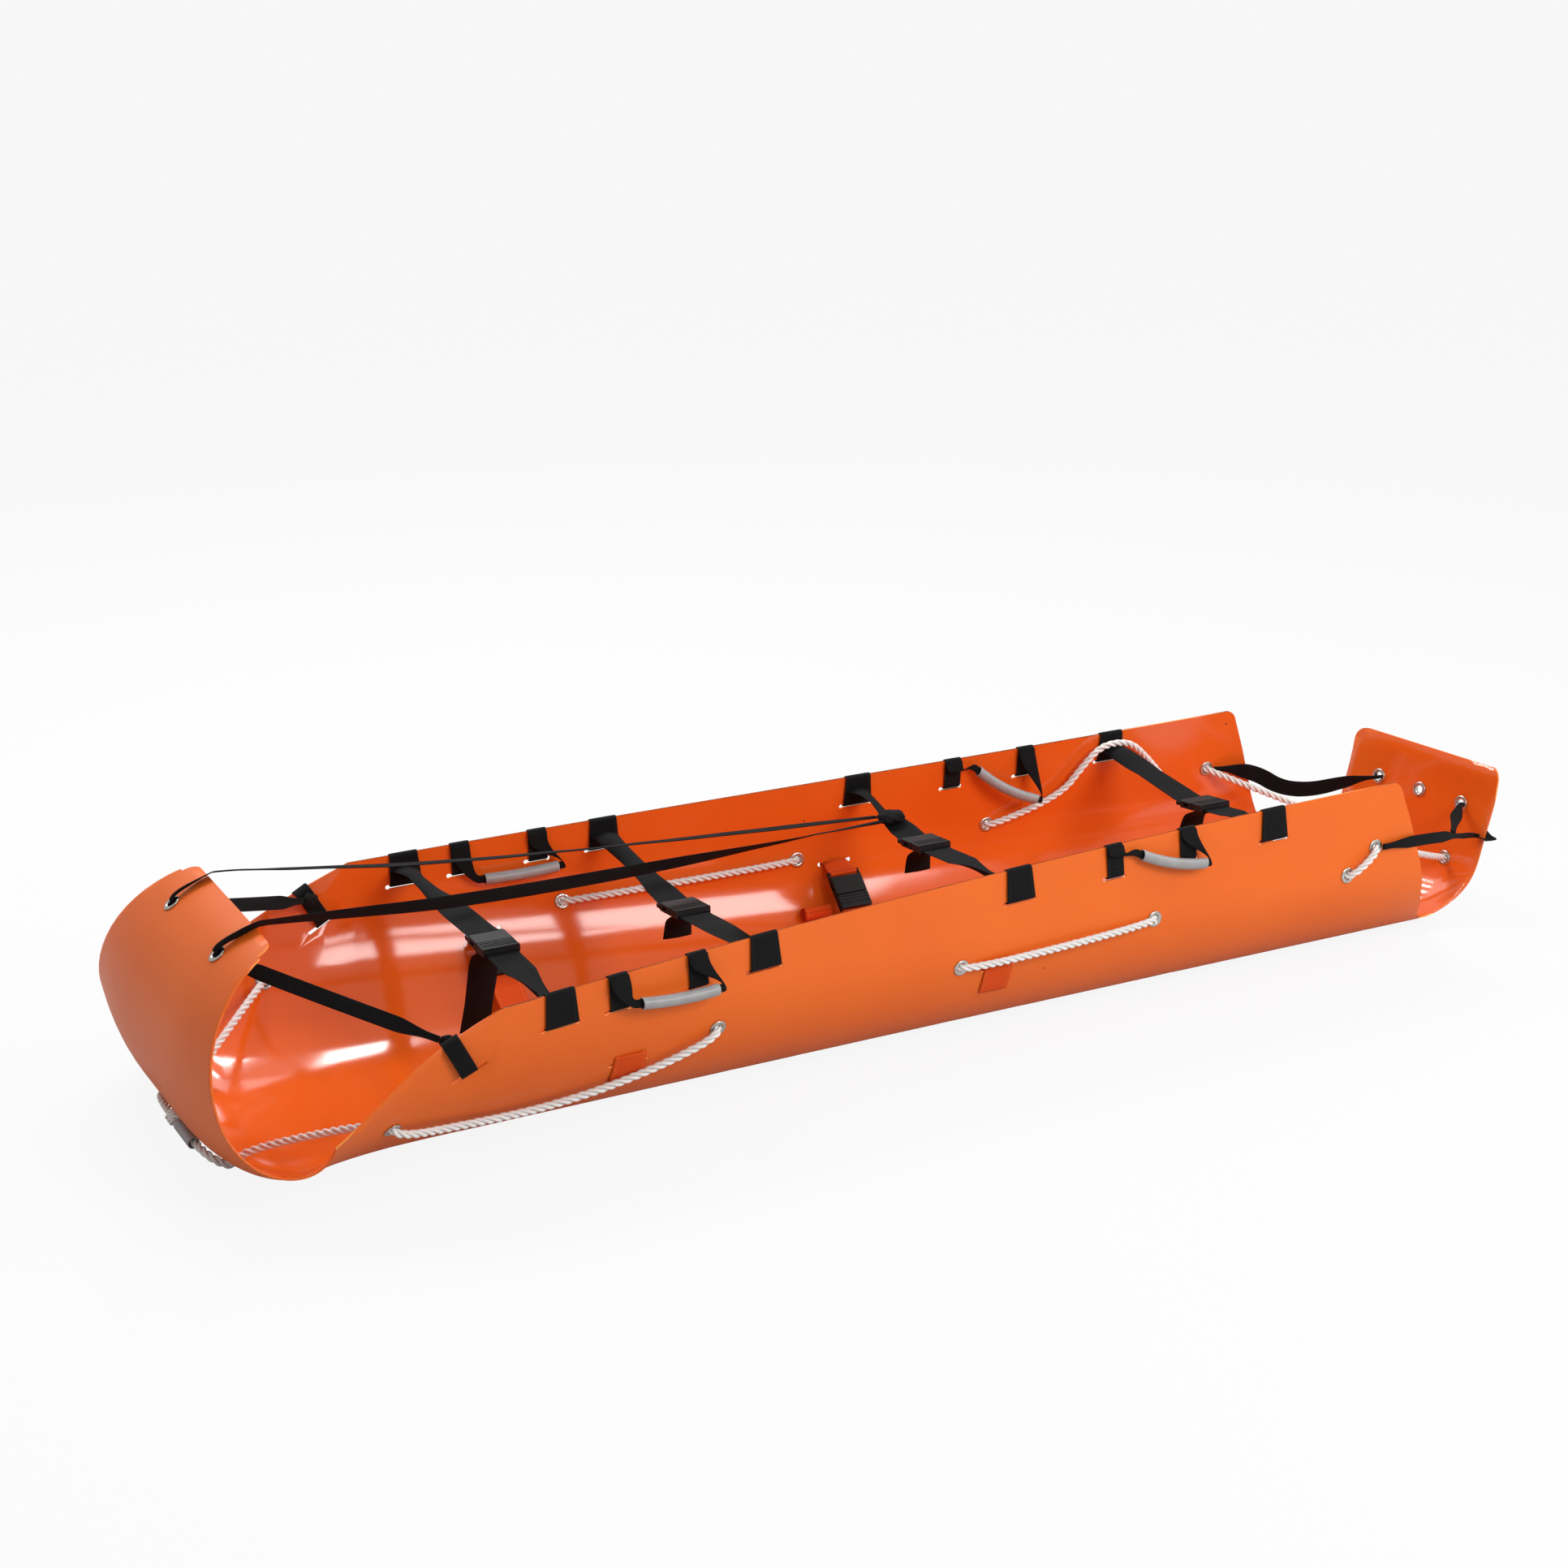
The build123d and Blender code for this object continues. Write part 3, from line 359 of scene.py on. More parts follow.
orange_outside = sheet_plastic("orange_outside", (0.80, 0.145, 0.012, 1), (0.70, 0.110, 0.008, 1),
                               gloss=0.34, shine=0.30, grain_share=1.0, wave_share=0.3)
orange_inside = sheet_plastic("orange_inside", (0.78, 0.128, 0.012, 1), (0.70, 0.094, 0.008, 1),
                              gloss=0.09, shine=0.65, grain_share=0.05, wave_share=1.0)
# The cut edges' paler orange is a painted highlight: the light that catches the thin edge.
orange_cut_edge_highlight = sheet_plastic("orange_cut_edge_highlight", (0.95, 0.32, 0.070, 1), (0.88, 0.24, 0.045, 1),
                           gloss=0.42, shine=0.30, grain_share=1.0, wave_share=0.0)
print("sheet finishes", orange_outside.name, orange_inside.name, orange_cut_edge_highlight.name)

# %% [markdown]
# Webbing is woven narrow cloth. Its map runs in metres along and across the strap, so the ribs
# of the weave have their real pitch, and rows of stitches can be laid at a distance from the edge.
# Every rib could be a mesh of its own, but sine waves as height show the same weave for no faces.

# %% Webbing cloth
rib_pitch, slant_pitch, yarn_pitch = 0.0016, 0.0030, 0.0011
stitch_pitch, stitch_length = 0.0042, 0.0028
thread_half, thread_width = 0.0005, 0.0009


def webbing(name, dark, light, thread, edge, rows_apart=0.0):
    """Ribs slant each way by turns, as in a herringbone weave, with a stitch row near each edge.
    A sewn loop also has rows of stitches across it."""
    paint = Paint(name)
    along, over = paint.cloth()
    turn = 2 * math.pi
    rib = (along * (turn / rib_pitch) + abs(over) * (turn / slant_pitch)).sine()
    yarn = (over * (turn / yarn_pitch)).sine()
    weave = rib * 0.5 + yarn * 0.3
    dash = along.wrapped(stitch_pitch) < stitch_length
    row = abs(abs(over) - edge) < thread_half
    stitches = row * dash
    if rows_apart:
        cross_dash = over.wrapped(stitch_pitch) < stitch_length
        stitches = stitches + (along.wrapped(rows_apart) < thread_width) * cross_dash
    fuzz = paint.noise(1400.0, 2.0)
    wear = paint.noise(38.0)
    shade = weave * 0.22 + fuzz * 0.4 + wear * 0.35
    colour = paint.mix(stitches * 0.55, paint.mix(shade, dark, light), thread)
    return paint.finish(colour, 0.72 + 0.18 * fuzz, weave + stitches * 1.4 + fuzz * 0.5, 0.00022,
                        {"Specular IOR Level": 0.16})


black = (0.0015, 0.0015, 0.002, 1), (0.008, 0.008, 0.009, 1)
black_webbing = webbing("black_webbing", *black, (0.022, 0.022, 0.024, 1), 0.0195)
narrow_webbing = webbing("narrow_webbing", *black, (0.020, 0.020, 0.022, 1), 0.0110)
sewn_webbing = webbing("sewn_webbing", *black, (0.024, 0.024, 0.026, 1), 0.0125, rows_apart=0.0085)
orange_webbing = webbing("orange_webbing", (0.62, 0.055, 0.006, 1), (0.84, 0.105, 0.011, 1),
                         (0.85, 0.25, 0.08, 1), 0.0195)
print("webbing", black_webbing.name, narrow_webbing.name, sewn_webbing.name, orange_webbing.name)

# %% [markdown]
# The rope is white laid fibre, the buckles and grips are moulded plastic, and the grommets are
# plated brass. Pictures of them could be wrapped round the pieces. Noise at the real size of the
# fibres, the moulded grain and the rub marks has no seams, and stays sharp close up.


# %% Rope, plastic and metal
def rope_fibre():
    """White laid rope: fine yarns run round each strand, with dust in between."""
    paint = Paint("white_rope")
    along, over = paint.cloth()
    turn = 2 * math.pi
    yarns = (over * (turn * 9) + along * (turn / 0.020)).sine()
    fuzz = paint.noise(900.0, 3.0)
    dust = paint.noise(24.0)
    shade = yarns * 0.18 + fuzz * 0.45 + dust * 0.35
    colour = paint.mix(shade, (0.80, 0.77, 0.74, 1), (0.94, 0.92, 0.90, 1))
    return paint.finish(colour, 0.50 + 0.2 * fuzz, yarns + fuzz * 0.6, 0.00008, {})


def moulded(name, dark, light, gloss, fixed):
    """Moulded plastic: a fine spark-eroded grain and slightly polished patches."""
    paint = Paint(name)
    grain = paint.noise(1600.0, 2.0)
    rub = paint.noise(60.0)
    colour = paint.mix(rub, dark, light)
    return paint.finish(colour, gloss + 0.14 * rub + 0.08 * grain, grain, 0.00005, fixed)


def plated_metal():
    """Nickel-plated brass: bright, with turned scratches and dull spots."""
    paint = Paint("grommet_metal")
    rub = paint.noise(210.0, 4.0)
    spots = paint.noise(45.0)
    colour = paint.mix(spots, (0.42, 0.40, 0.37, 1), (0.68, 0.66, 0.62, 1))
    return paint.finish(colour, 0.16 + 0.22 * rub, rub, 0.00004, {"Metallic": 1.0})


rope_white = rope_fibre()
buckle_black = moulded("buckle_plastic", (0.003, 0.003, 0.0035, 1), (0.008, 0.008, 0.009, 1), 0.44,
                       {"Specular IOR Level": 0.28})
tube_grey = moulded("grip_tube", (0.30, 0.29, 0.29, 1), (0.46, 0.45, 0.45, 1), 0.26,
                    {"Transmission Weight": 0.25, "IOR": 1.5})
grommet_metal = plated_metal()
print("rope, plastic and metal ready")

# %% [markdown]
# Two helpers make nearly every new piece. One turns a grid of points into a closed skin and gives
# it the map in metres. The other dresses the object: material, body and the nodes it replaces.
# Modelling by hand would need this for each of some fifty pieces, so it is written once.


# %% Mesh helpers
def linked(name, data):
    """A new object in the scene that holds this data."""
    made = bpy.data.objects.new(name, data)
    bpy.context.collection.objects.link(made)
    return made


def values_of(items, name, width=1, kind=float):
    """One property of all vertices, edges, corners or faces, as an array of so many columns."""
    values = np.empty(len(items) * width, dtype=kind)
    items.foreach_get(name, values)
    return values.reshape(-1, width) if width > 1 else values


def coat(material, *names):
    """Give CAD nodes that stay in view a material in place of their plain one."""
    for name in names:
        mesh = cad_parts[name].data
        mesh.materials.clear()
        mesh.materials.append(material)


def skin(name, grid, along, over, ring_closed=False):
    """Mesh from a grid (stations, profile, 3): the profile is closed, the ends are capped or joined.
    along and over give each point's place on the cloth in metres."""
    stations, profile = grid.shape[:2]
    index = np.arange(stations * profile).reshape(stations, profile)
    if ring_closed:
        start, after = index, np.roll(index, -1, axis=0)
    else:
        start, after = index[:-1], index[1:]
    beside, after_beside = np.roll(start, -1, axis=1), np.roll(after, -1, axis=1)
    faces = np.stack((start, beside, after_beside, after), axis=-1).reshape(-1, 4).tolist()
    if not ring_closed:
        faces += [index[0][::-1].tolist(), index[-1].tolist()]
    mesh = bpy.data.meshes.new(name)
    mesh.from_pydata(grid.reshape(-1, 3).tolist(), [], faces)
    corner = values_of(mesh.loops, "vertex_index", kind=np.int32)
    flat_map = np.stack((along.reshape(-1), over.reshape(-1)), axis=-1)[corner]
    mesh.uv_layers.new(name="cloth").data.foreach_set("uv", flat_map.reshape(-1))
    mesh.polygons.foreach_set("use_smooth", np.ones(len(mesh.polygons), dtype=bool))
    mesh.validate()
    # A closed skin with negative volume is inside out
    work = bmesh.new()
    work.from_mesh(mesh)
    if work.calc_volume(signed=True) < 0:
        bmesh.ops.reverse_faces(work, faces=work.faces)
    work.to_mesh(mesh)
    work.free()
    return linked(name, mesh)


def joined(name, parts):
    """One object from several, which keeps their maps."""
    bpy.ops.object.select_all(action="DESELECT")
    for part in parts:
        part.select_set(True)
    bpy.context.view_layer.objects.active = parts[0]
    bpy.ops.object.join()
    parts[0].name = name
    return parts[0]


def dress(made, material, body, slot, *nodes):
    """Give a finished piece its material, and say what it rides on and stands for."""
    made.data.materials.clear()
    made.data.materials.append(material)
    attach(made, body)
    if nodes:
        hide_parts(*nodes)
    return made


def rounded(points, closed=False, passes=3):
    """Corner cutting: each pass swaps every corner for points a quarter of the way along its runs."""
    points = np.array(points, dtype=float)
    for _ in range(passes):
        after = np.roll(points, -1, axis=0) if closed else points[1:]
        before = points if closed else points[:-1]
        cut = np.stack((0.75 * before + 0.25 * after, 0.25 * before + 0.75 * after), axis=1)
        cut = cut.reshape(-1, points.shape[1])
        points = cut if closed else np.vstack((points[:1], cut, points[-1:]))
    return points


def lengths(points):
    """Distance along a line of points."""
    steps = np.linalg.norm(np.diff(points, axis=0), axis=1)
    return np.concatenate(([0.0], np.cumsum(steps)))


def resampled(points, spacing):
    """The same line with even spacing."""
    reach = lengths(points)
    places = np.linspace(0, reach[-1], max(3, int(reach[-1] / spacing) + 1))
    return np.stack([np.interp(places, reach, column) for column in points.T], axis=-1)


def spread(values, share):
    """A value, or a list of values evenly spaced along a line, read at each share of the line."""
    values = np.atleast_1d(values)
    return np.interp(share, np.linspace(0, 1, len(values)), values)


print("a corner is rounded with", len(rounded([(0, 0), (1, 0), (1, 1)])), "points")

# %% [markdown]
# A strap is a ribbon between two edge lines. Its section is a flat rounded rectangle, and it can
# be cupped, because a strap that is pulled round a buckle folds along its middle. A curve with a
# bevel would also give a strap, but its width, twist and cup couldn't change along the way.

# %% Ribbon
profile_turn = np.linspace(0, 2 * math.pi, 24, endpoint=False)
profile_across = np.sign(np.cos(profile_turn)) * np.abs(np.cos(profile_turn)) ** 0.30
profile_height = np.sign(np.sin(profile_turn)) * np.abs(np.sin(profile_turn)) ** 0.55


def ribbon(name, left, right, thickness=0.0016, cup=0.0, ring_closed=False):
    """Point = middle + half width * across + half thickness * normal + cup * (1 - across squared).
    The thickness is one value, or one for each station as an array of shape (stations, 1, 1)."""
    middle = (left + right) / 2
    over = right - left
    if ring_closed:
        tangent = np.roll(middle, -1, axis=0) - np.roll(middle, 1, axis=0)
    else:
        tangent = np.gradient(middle, axis=0)
    normal = unit(np.cross(unit(tangent), over))
    cups = np.broadcast_to(np.asarray(cup, dtype=float), (len(middle),))
    across_it = profile_across[None, :, None]
    grid = (middle[:, None] + 0.5 * over[:, None] * across_it
            + 0.5 * thickness * profile_height[None, :, None] * normal[:, None]
            + cups[:, None, None] * (1 - across_it ** 2) * normal[:, None])
    reach = lengths(middle)
    width = np.linalg.norm(over, axis=1)
    along = np.broadcast_to(reach[:, None], grid.shape[:2])
    return skin(name, grid, along, 0.5 * width[:, None] * profile_across[None, :], ring_closed)


def flat_strap(name, points, direction, width, thickness=0.0016, cup=0.0, twist=0.0):
    """A ribbon along a line of points. Half width * (cos twist * direction + sin twist * normal)
    goes to each edge; width, cup and twist in degrees may be lists along the line."""
    line = resampled(rounded(points), 0.003)
    share = np.linspace(0, 1, len(line))
    widths, cups, turns = spread(width, share), spread(cup, share), np.radians(spread(twist, share))
    level = np.array(direction, dtype=float)
    normal = unit(np.cross(np.gradient(line, axis=0), level))
    reach = 0.5 * widths[:, None] * (np.cos(turns)[:, None] * level + np.sin(turns)[:, None] * normal)
    return ribbon(name, line - reach, line + reach, thickness, cups)


print("ribbon section", len(profile_turn), "points round")

# %% [markdown]
# The sheet keeps the exact shape of its CAD node, with every slit and hole. The node's triangles
# are loose, so a copy is merged and smoothed, with sharp edges only where the plastic was cut.
# The sharp edges also part its faces into smooth regions. A small region that faces across the
# way to the trough's middle axis is a cut edge. Each other face is inside if it looks to that
# axis. The long triangles of the trough would shade in streaks, so its normals come from the
# formula. Bending a new grid would avoid them, but the slits would have to be cut again.


# %% Smooth regions and exact normals
def smooth_regions(mesh):
    """A number for each face, the same all over a region that no sharp edge crosses.
    Each face takes the lowest number among its neighbours until nothing changes."""
    edge_of = values_of(mesh.loops, "edge_index", kind=np.int32)
    corners = values_of(mesh.polygons, "loop_total", kind=np.int32)
    face_of = np.repeat(np.arange(len(mesh.polygons)), corners)
    sharp = values_of(mesh.edges, "use_edge_sharp", kind=bool)
    order = np.argsort(edge_of, kind="stable")
    edge_of, face_of = edge_of[order], face_of[order]
    pair = (edge_of[1:] == edge_of[:-1]) & ~sharp[edge_of[1:]]
    one, other = face_of[:-1][pair], face_of[1:][pair]
    number = np.arange(len(mesh.polygons))
    changed = True
    while changed:
        lowest = np.minimum(number[one], number[other])
        after = number.copy()
        np.minimum.at(after, one, lowest)
        np.minimum.at(after, other, lowest)
        after = after[after]
        changed = not np.array_equal(after, number)
        number = after
    return number


def trough_normals(places):
    """Normals away from the trough's inside: (-slope, sin a, -cos a), where a is the angle turned
    at the place and slope is how fast the section moves outward along x at the same girth."""
    x = np.clip(places[:, 0], corner_x, flap_start_x)
    flat, radius, turn = trough_section(x)
    side, rise = np.abs(places[:, 1]), places[:, 2] - half
    angle = np.clip(np.arctan2(side - flat, radius - rise), 0, turn)
    past = ((side - flat - radius * np.sin(turn)) * np.cos(turn)
            + (rise - radius * (1 - np.cos(turn))) * np.sin(turn))
    girth = flat + radius * angle + np.where(angle < turn, 0, np.maximum(past, 0))
    step = 0.002
    ahead, behind = across(*trough_section(x + step), girth), across(*trough_section(x - step), girth)
    slope = ((ahead[0] - behind[0]) * np.sin(angle) - (ahead[1] - behind[1]) * np.cos(angle)) / (2 * step)
    return unit(np.stack((-slope, np.copysign(np.sin(angle), places[:, 1]), -np.cos(angle)), axis=-1))


print("normal of the floor", trough_normals(np.array([(0.0, 0.0, half)])).round(3).tolist())

# %% Sheet mesh and its regions
sharp_edge = math.radians(35)
merge_distance = 1e-6
sheet_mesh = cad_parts["sheet"].data.copy()
work = bmesh.new()
work.from_mesh(sheet_mesh)
bmesh.ops.remove_doubles(work, verts=work.verts, dist=merge_distance)
work.to_mesh(sheet_mesh)
work.free()
sheet_mesh.polygons.foreach_set("use_smooth", np.ones(len(sheet_mesh.polygons), dtype=bool))
sheet_mesh.set_sharp_from_angle(angle=sharp_edge)
regions, region_of = np.unique(smooth_regions(sheet_mesh), return_inverse=True)
print("faces", len(region_of), "regions", len(regions))

# %% Finish of each face
axis_reach, end_lean = 0.93, 0.6
cut_facing, cut_area = 0.6, 0.05
# Finish numbers of the faces; the cut edges' finish is painted paler, as a painted highlight.
outside, inside, cut = 0, 1, 2
area = values_of(sheet_mesh.polygons, "area")
facing = values_of(sheet_mesh.polygons, "normal", 3)
middle = values_of(sheet_mesh.polygons, "center", 3)
beyond = np.abs(middle[:, 0]) > axis_reach
axis_point = np.stack((np.clip(middle[:, 0], -axis_reach, axis_reach),
                       np.where(beyond, end_lean * middle[:, 1], 0),
                       np.full(len(middle), axis_height)), axis=-1)
share = np.sum(facing * unit(axis_point - middle), axis=1)
region_area = np.bincount(region_of, weights=area)
facing_share = np.bincount(region_of, weights=area * np.abs(share)) / region_area
# Cut edges take the paler finish, a painted highlight of the light on the edge.
highlighted_cut_edge = (facing_share < cut_facing) & (region_area < cut_area)
finish_number = np.where(highlighted_cut_edge[region_of], cut, np.where(share > 0, inside, outside))
dress(linked("orange_sheet", sheet_mesh), orange_outside, "sheet_body", "sheet", "sheet")
sheet_mesh.materials.append(orange_inside)
sheet_mesh.materials.append(orange_cut_edge_highlight)
sheet_mesh.polygons.foreach_set("material_index", finish_number.astype(np.int32))
print("area of each finish", np.round(np.bincount(finish_number, weights=area), 4))

# %% Normals of the trough
seam_margin = 0.0005
normals = values_of(sheet_mesh.corner_normals, "vector", 3)
vertex_of = values_of(sheet_mesh.loops, "vertex_index", kind=np.int32)
corner_place = values_of(sheet_mesh.vertices, "co", 3)[vertex_of]
corner_finish = np.repeat(finish_number, values_of(sheet_mesh.polygons, "loop_total", kind=np.int32))
from_middle = np.abs(corner_place[:, 0] - (corner_x + flap_start_x) / 2)
on_trough = (corner_finish != cut) & (from_middle < (flap_start_x - corner_x) / 2 + seam_margin)
facing_out = np.where(corner_finish == outside, 1.0, -1.0)[:, None]
exact = np.where(on_trough[:, None], facing_out * trough_normals(corner_place), normals)
sheet_mesh.normals_split_custom_set(exact.tolist())
print("corners with exact normals", int(on_trough.sum()), "of", len(on_trough))

# %% [markdown]
# A grommet is a turned ring with rolled flanges. A stretched torus would come close, but its
# back wouldn't lie flat on the sheet. So it is lathed: a closed outline is carried round the
# axis of each hole.


# %% Lathe and grommets
def lathed(name, place, outline, sides=40, sag=0.0):
    """Outline rows are radius and height. Point = origin + radius * (cos, sin) + height * axis - sag."""
    turn = np.linspace(0, 2 * math.pi, sides, endpoint=False)
    radius, height = outline[:, 0], outline[:, 1]
    reach = np.abs(height).max()
    grid = (place[0] + radius[None, :, None] * (np.cos(turn)[:, None, None] * place[1]
                                                + np.sin(turn)[:, None, None] * place[2])
            + height[None, :, None] * place[3]
            - (sag * (1 - (height / reach) ** 2))[None, :, None] * place[2])
    along = np.broadcast_to(height[None, :], grid.shape[:2])
    return skin(name, grid, along, 0.05 * np.sin(turn)[:, None] * np.ones(len(height)), ring_closed=True)


bore_radius, barrel_radius, lip_radius = 0.0068, 0.0082, 0.0122
roll_middle, roll_half = 0.0098, 0.0029
flange_seat, lip_seat, flange_rise = 0.0024, 0.0025, 0.0013


def grommet_outline():
    """Barrel at the bore, and on each side a flange with a flat back and a round face:
    radius = roll middle - roll half * cos turn, height = seat + rise * sin turn."""
    roll = np.linspace(0, math.pi, 9)
    flange = np.stack((roll_middle - roll_half * np.cos(roll), flange_seat + flange_rise * np.sin(roll)),
                      axis=-1)
    flange[0, 0] = bore_radius
    back = [(lip_radius, lip_seat), (barrel_radius, flange_seat)]
    other_back = [(radius, -height) for radius, height in back[::-1]]
    return np.vstack((flange, back, other_back, (flange * (1, -1))[::-1]))


outline = grommet_outline()
groups = {"near": list(rows[-1].values()), "far": list(rows[1].values()), "curl": curl_holes,
          "flap": flap_holes}
for word, places in groups.items():
    rings = [lathed(f"grommet_{word}_{index}", place, outline) for index, place in enumerate(places)]
    dress(joined(f"metal_grommets_{word}", rings), grommet_metal, "sheet_body", "grommet",
          f"grommets_{word}")
print("grommets", sum(len(places) for places in groups.values()))

# %% [markdown]
# The rope is laid: three strands wind round each other. Its route is a smooth NURBS line through
# the holes, with the same points as the CAD rope, and each strand is a helix round that line. A
# round cord with a bump would cost less, but the strands show in its outline on the photograph.

# %% Rope route and strands
route_spacing = 0.0028
# Three round strands that touch fill a circle when each is 1 / (1 + 2 / square root of 3) of it
strand_share = 0.464


def route_line(name, points):
    """Even points along a quadratic NURBS curve with these control points."""
    curve = bpy.data.curves.new(name, "CURVE")
    curve.dimensions = "3D"
    spline = curve.splines.new("NURBS")
    spline.points.add(len(points) - 1)
    homogeneous = np.hstack((np.array(points), np.ones((len(points), 1))))
    spline.points.foreach_set("co", homogeneous.reshape(-1))
    spline.order_u = 3
    spline.use_endpoint_u = True
    spline.resolution_u = 24
    holder = linked(name, curve)
    bpy.context.view_layer.update()
    mesh = bpy.data.meshes.new_from_object(holder.evaluated_get(bpy.context.evaluated_depsgraph_get()))
    line = values_of(mesh.vertices, "co", 3)
    bpy.data.objects.remove(holder)
    return resampled(line, route_spacing)


def carried_frames(line):
    """Tangent and two normals that are carried along the line without twisting."""
    tangent = unit(np.gradient(line, axis=0))
    first = unit(np.cross(tangent[0], (0.3, 0.2, 1.0)))
    normals = [first]
    for way in tangent[1:]:
        kept = normals[-1] - way * (normals[-1] @ way)
        normals.append(kept / np.linalg.norm(kept))
    normals = np.array(normals)
    return tangent, normals, np.cross(tangent, normals)


def laid_rope(name, line, radius, pitch=0.038, sides=10):
    """Strand centre = line + helix radius * (cos turn, sin turn); each strand is a round skin."""
    strand_radius = strand_share * radius
    helix_radius = radius - strand_radius
    tangent, normal, binormal = carried_frames(line)
    reach = lengths(line)
    round_it = np.linspace(0, 2 * math.pi, sides, endpoint=False)
    strands = []
    for number in range(3):
        turn = 2 * math.pi * (reach / pitch + number / 3)
        out = np.cos(turn)[:, None] * normal + np.sin(turn)[:, None] * binormal
        side_way = np.cross(tangent, out)
        grid = (line + helix_radius * out)[:, None] + strand_radius * (
            np.cos(round_it)[None, :, None] * out[:, None]
            + np.sin(round_it)[None, :, None] * side_way[:, None])
        along = np.broadcast_to(reach[:, None], grid.shape[:2])
        share = np.abs(round_it / math.pi - 1)
        over = np.broadcast_to(share[None, :], grid.shape[:2])
        strands.append(skin(f"{name}_{number}", grid, along, over))
    return joined(name, strands)


print("a strand has", strand_share, "of the rope's radius")

# %% Rope routes
rope_radius = 0.006
rope_stand = 0.014
over_patch = 0.0128
tow_height = half + 0.011 + 0.0006
tow_ends = {-1: -0.008, 1: 0.024}
tow_turn = 0.112
taper_places = ((-0.640, 0.190), (-0.540, 0.176), (-0.450, 0.152))
tow_near, tow_far = [above(curl_frame(0.364, end * 0.056), tow_height) for end in (-1, 1)]
over_strap = [(0.505, 0.215, 0.198), (0.543, 0.209, 0.244), (0.573, 0.205, 0.274), (0.606, 0.203, 0.280),
              (0.640, 0.204, 0.273), (0.674, 0.208, 0.242), (0.712, 0.211, 0.200)]


def tow_line(y):
    """The point of the rope's tow stretch at this y, under the curl."""
    return tow_near + (tow_far - tow_near) * ((y - tow_near[1]) / (tow_far[1] - tow_near[1]))


def rope_route(side):
    """In and out of one row of holes, from the tow knot to the end flap."""
    row = rows[side]
    wall_places = [curl_frame(0.052, side * 0.278)] + [
        wall_frame(x, drop, side) for x, drop in taper_places]
    points = [tow_line(tow_ends[side]), tow_line(side * tow_turn)]
    points += through(row["h"], rope_stand, outward=False)
    points += through(row["a"], rope_stand)
    points += [above(place, over_patch) for place in wall_places]
    points += through(row["b"], rope_stand, outward=False)
    points += through(row["c"], rope_stand)
    points += through(row["d"], rope_stand, outward=False)
    if side > 0:
        points += [np.array(point) for point in over_strap]
    points += through(row["e"], rope_stand)
    points += through(row["f"], rope_stand, outward=False)
    points += through(row["g"], rope_stand)
    return points + [above(flap_frame(flap_row[0], side * 0.0006), 0.0105)]


for side, word in ((-1, "near"), (1, "far")):
    points = rope_route(side)
    line = route_line(f"route_{word}", points)
    strands = dress(laid_rope(f"laid_rope_{word}", line, rope_radius), rope_white, "sheet_body", "rope",
                    f"rope_{word}")
    print("rope", word, round(lengths(line)[-1], 3), "m")

# %% [markdown]
# Under the left end both ropes meet in a knot, beside a short grey hose that a hand can pull on.
# The knot could be traced turn by turn, but it is small and half hidden, so it is one rope wound
# in a tight helix. The hose is lathed, as a grommet is.

# %% Tow knot and tow tube
knot_turns, knot_radius = 2.6, 0.0052
knot_start, knot_run = 0.005, 0.022
hose_radius, tow_bore, tow_half = 0.0085, 0.0066, 0.033
knot_from, knot_to = tow_line(tow_ends[-1]), tow_line(tow_ends[1])
knot_way = unit(knot_to - knot_from)
knot_side = unit(np.cross(knot_way, (0, 0, 1)))
knot_up = np.cross(knot_side, knot_way)
share = np.linspace(0, 1, 90)[:, None]
turn = 2 * math.pi * knot_turns * share
wrap = (knot_from + knot_way * (knot_start + knot_run * share)
        + knot_radius * (np.cos(turn) * knot_side + np.sin(turn) * knot_up))
dress(laid_rope("rope_knot", wrap, 0.0055, pitch=0.03), rope_white, "sheet_body", "rope", "tow_knot")
tube_start = tow_line(-0.014)
tube_place = np.array((tube_start - knot_way * tow_half, knot_side, knot_up, knot_way))


def hose_outline(inner, outer, half_length):
    """Outline of a tube's wall with rounded ends: radius and height."""
    turn = np.linspace(0, math.pi, 7)
    wall, middle = (outer - inner) / 2, (outer + inner) / 2
    cap = np.stack((middle + wall * np.cos(turn), half_length - wall + wall * np.sin(turn)), axis=-1)
    rise = np.linspace(-0.9, 0.9, 15)[:, None] * (half_length - wall)
    inside = np.hstack((np.full_like(rise, inner), -rise))
    outside = np.hstack((np.full_like(rise, outer), rise))
    return np.vstack((cap, inside, cap[::-1] * (1, -1), outside))


tow_hose = lathed("tow_hose", tube_place, hose_outline(tow_bore, hose_radius, tow_half))
dress(tow_hose, tube_grey, "sheet_body", "tube", "tow_tube")
print("tow knot and tube at", np.round(tube_start, 3))

# %% [markdown]
# Every cross strap starts from a loop round the sheet's rim: the webbing goes through a slit
# below the rim and is sewn back on itself. The loop is a closed ribbon whose width lies along
# the rim. It flares a little at its lower end, where the slit holds it open. A shrink-wrapped
# strip would follow the rim too, but it would touch the sheet, and here a small gap is kept.

# %% Loops of webbing round the rim
clearance = 0.0003
webbing_thickness = 0.0016
ring_inner = half + 0.0024
ring_radius = ring_inner + webbing_thickness / 2
ring_sink = math.sqrt((ring_inner - clearance) ** 2 - half ** 2)
ring_drop = 0.042
loop_width, loop_flare = 0.050, 0.12


def ring_place(centre, low, along):
    """Frame across an edge: y points off the edge, z along it."""
    away = centre - low
    away = unit(away - along * (away @ along))
    return np.array((centre, np.cross(away, along), away, along))


def rim_place(x, side):
    """Frame across the rim, in the middle of a loop's half turn."""
    centre = trough_point(x, side * (half_girth - ring_sink))
    low = trough_point(x, side * (half_girth - ring_sink - ring_drop))
    return ring_place(centre, low, wall_frame(x, ring_drop / 2, side)[1])


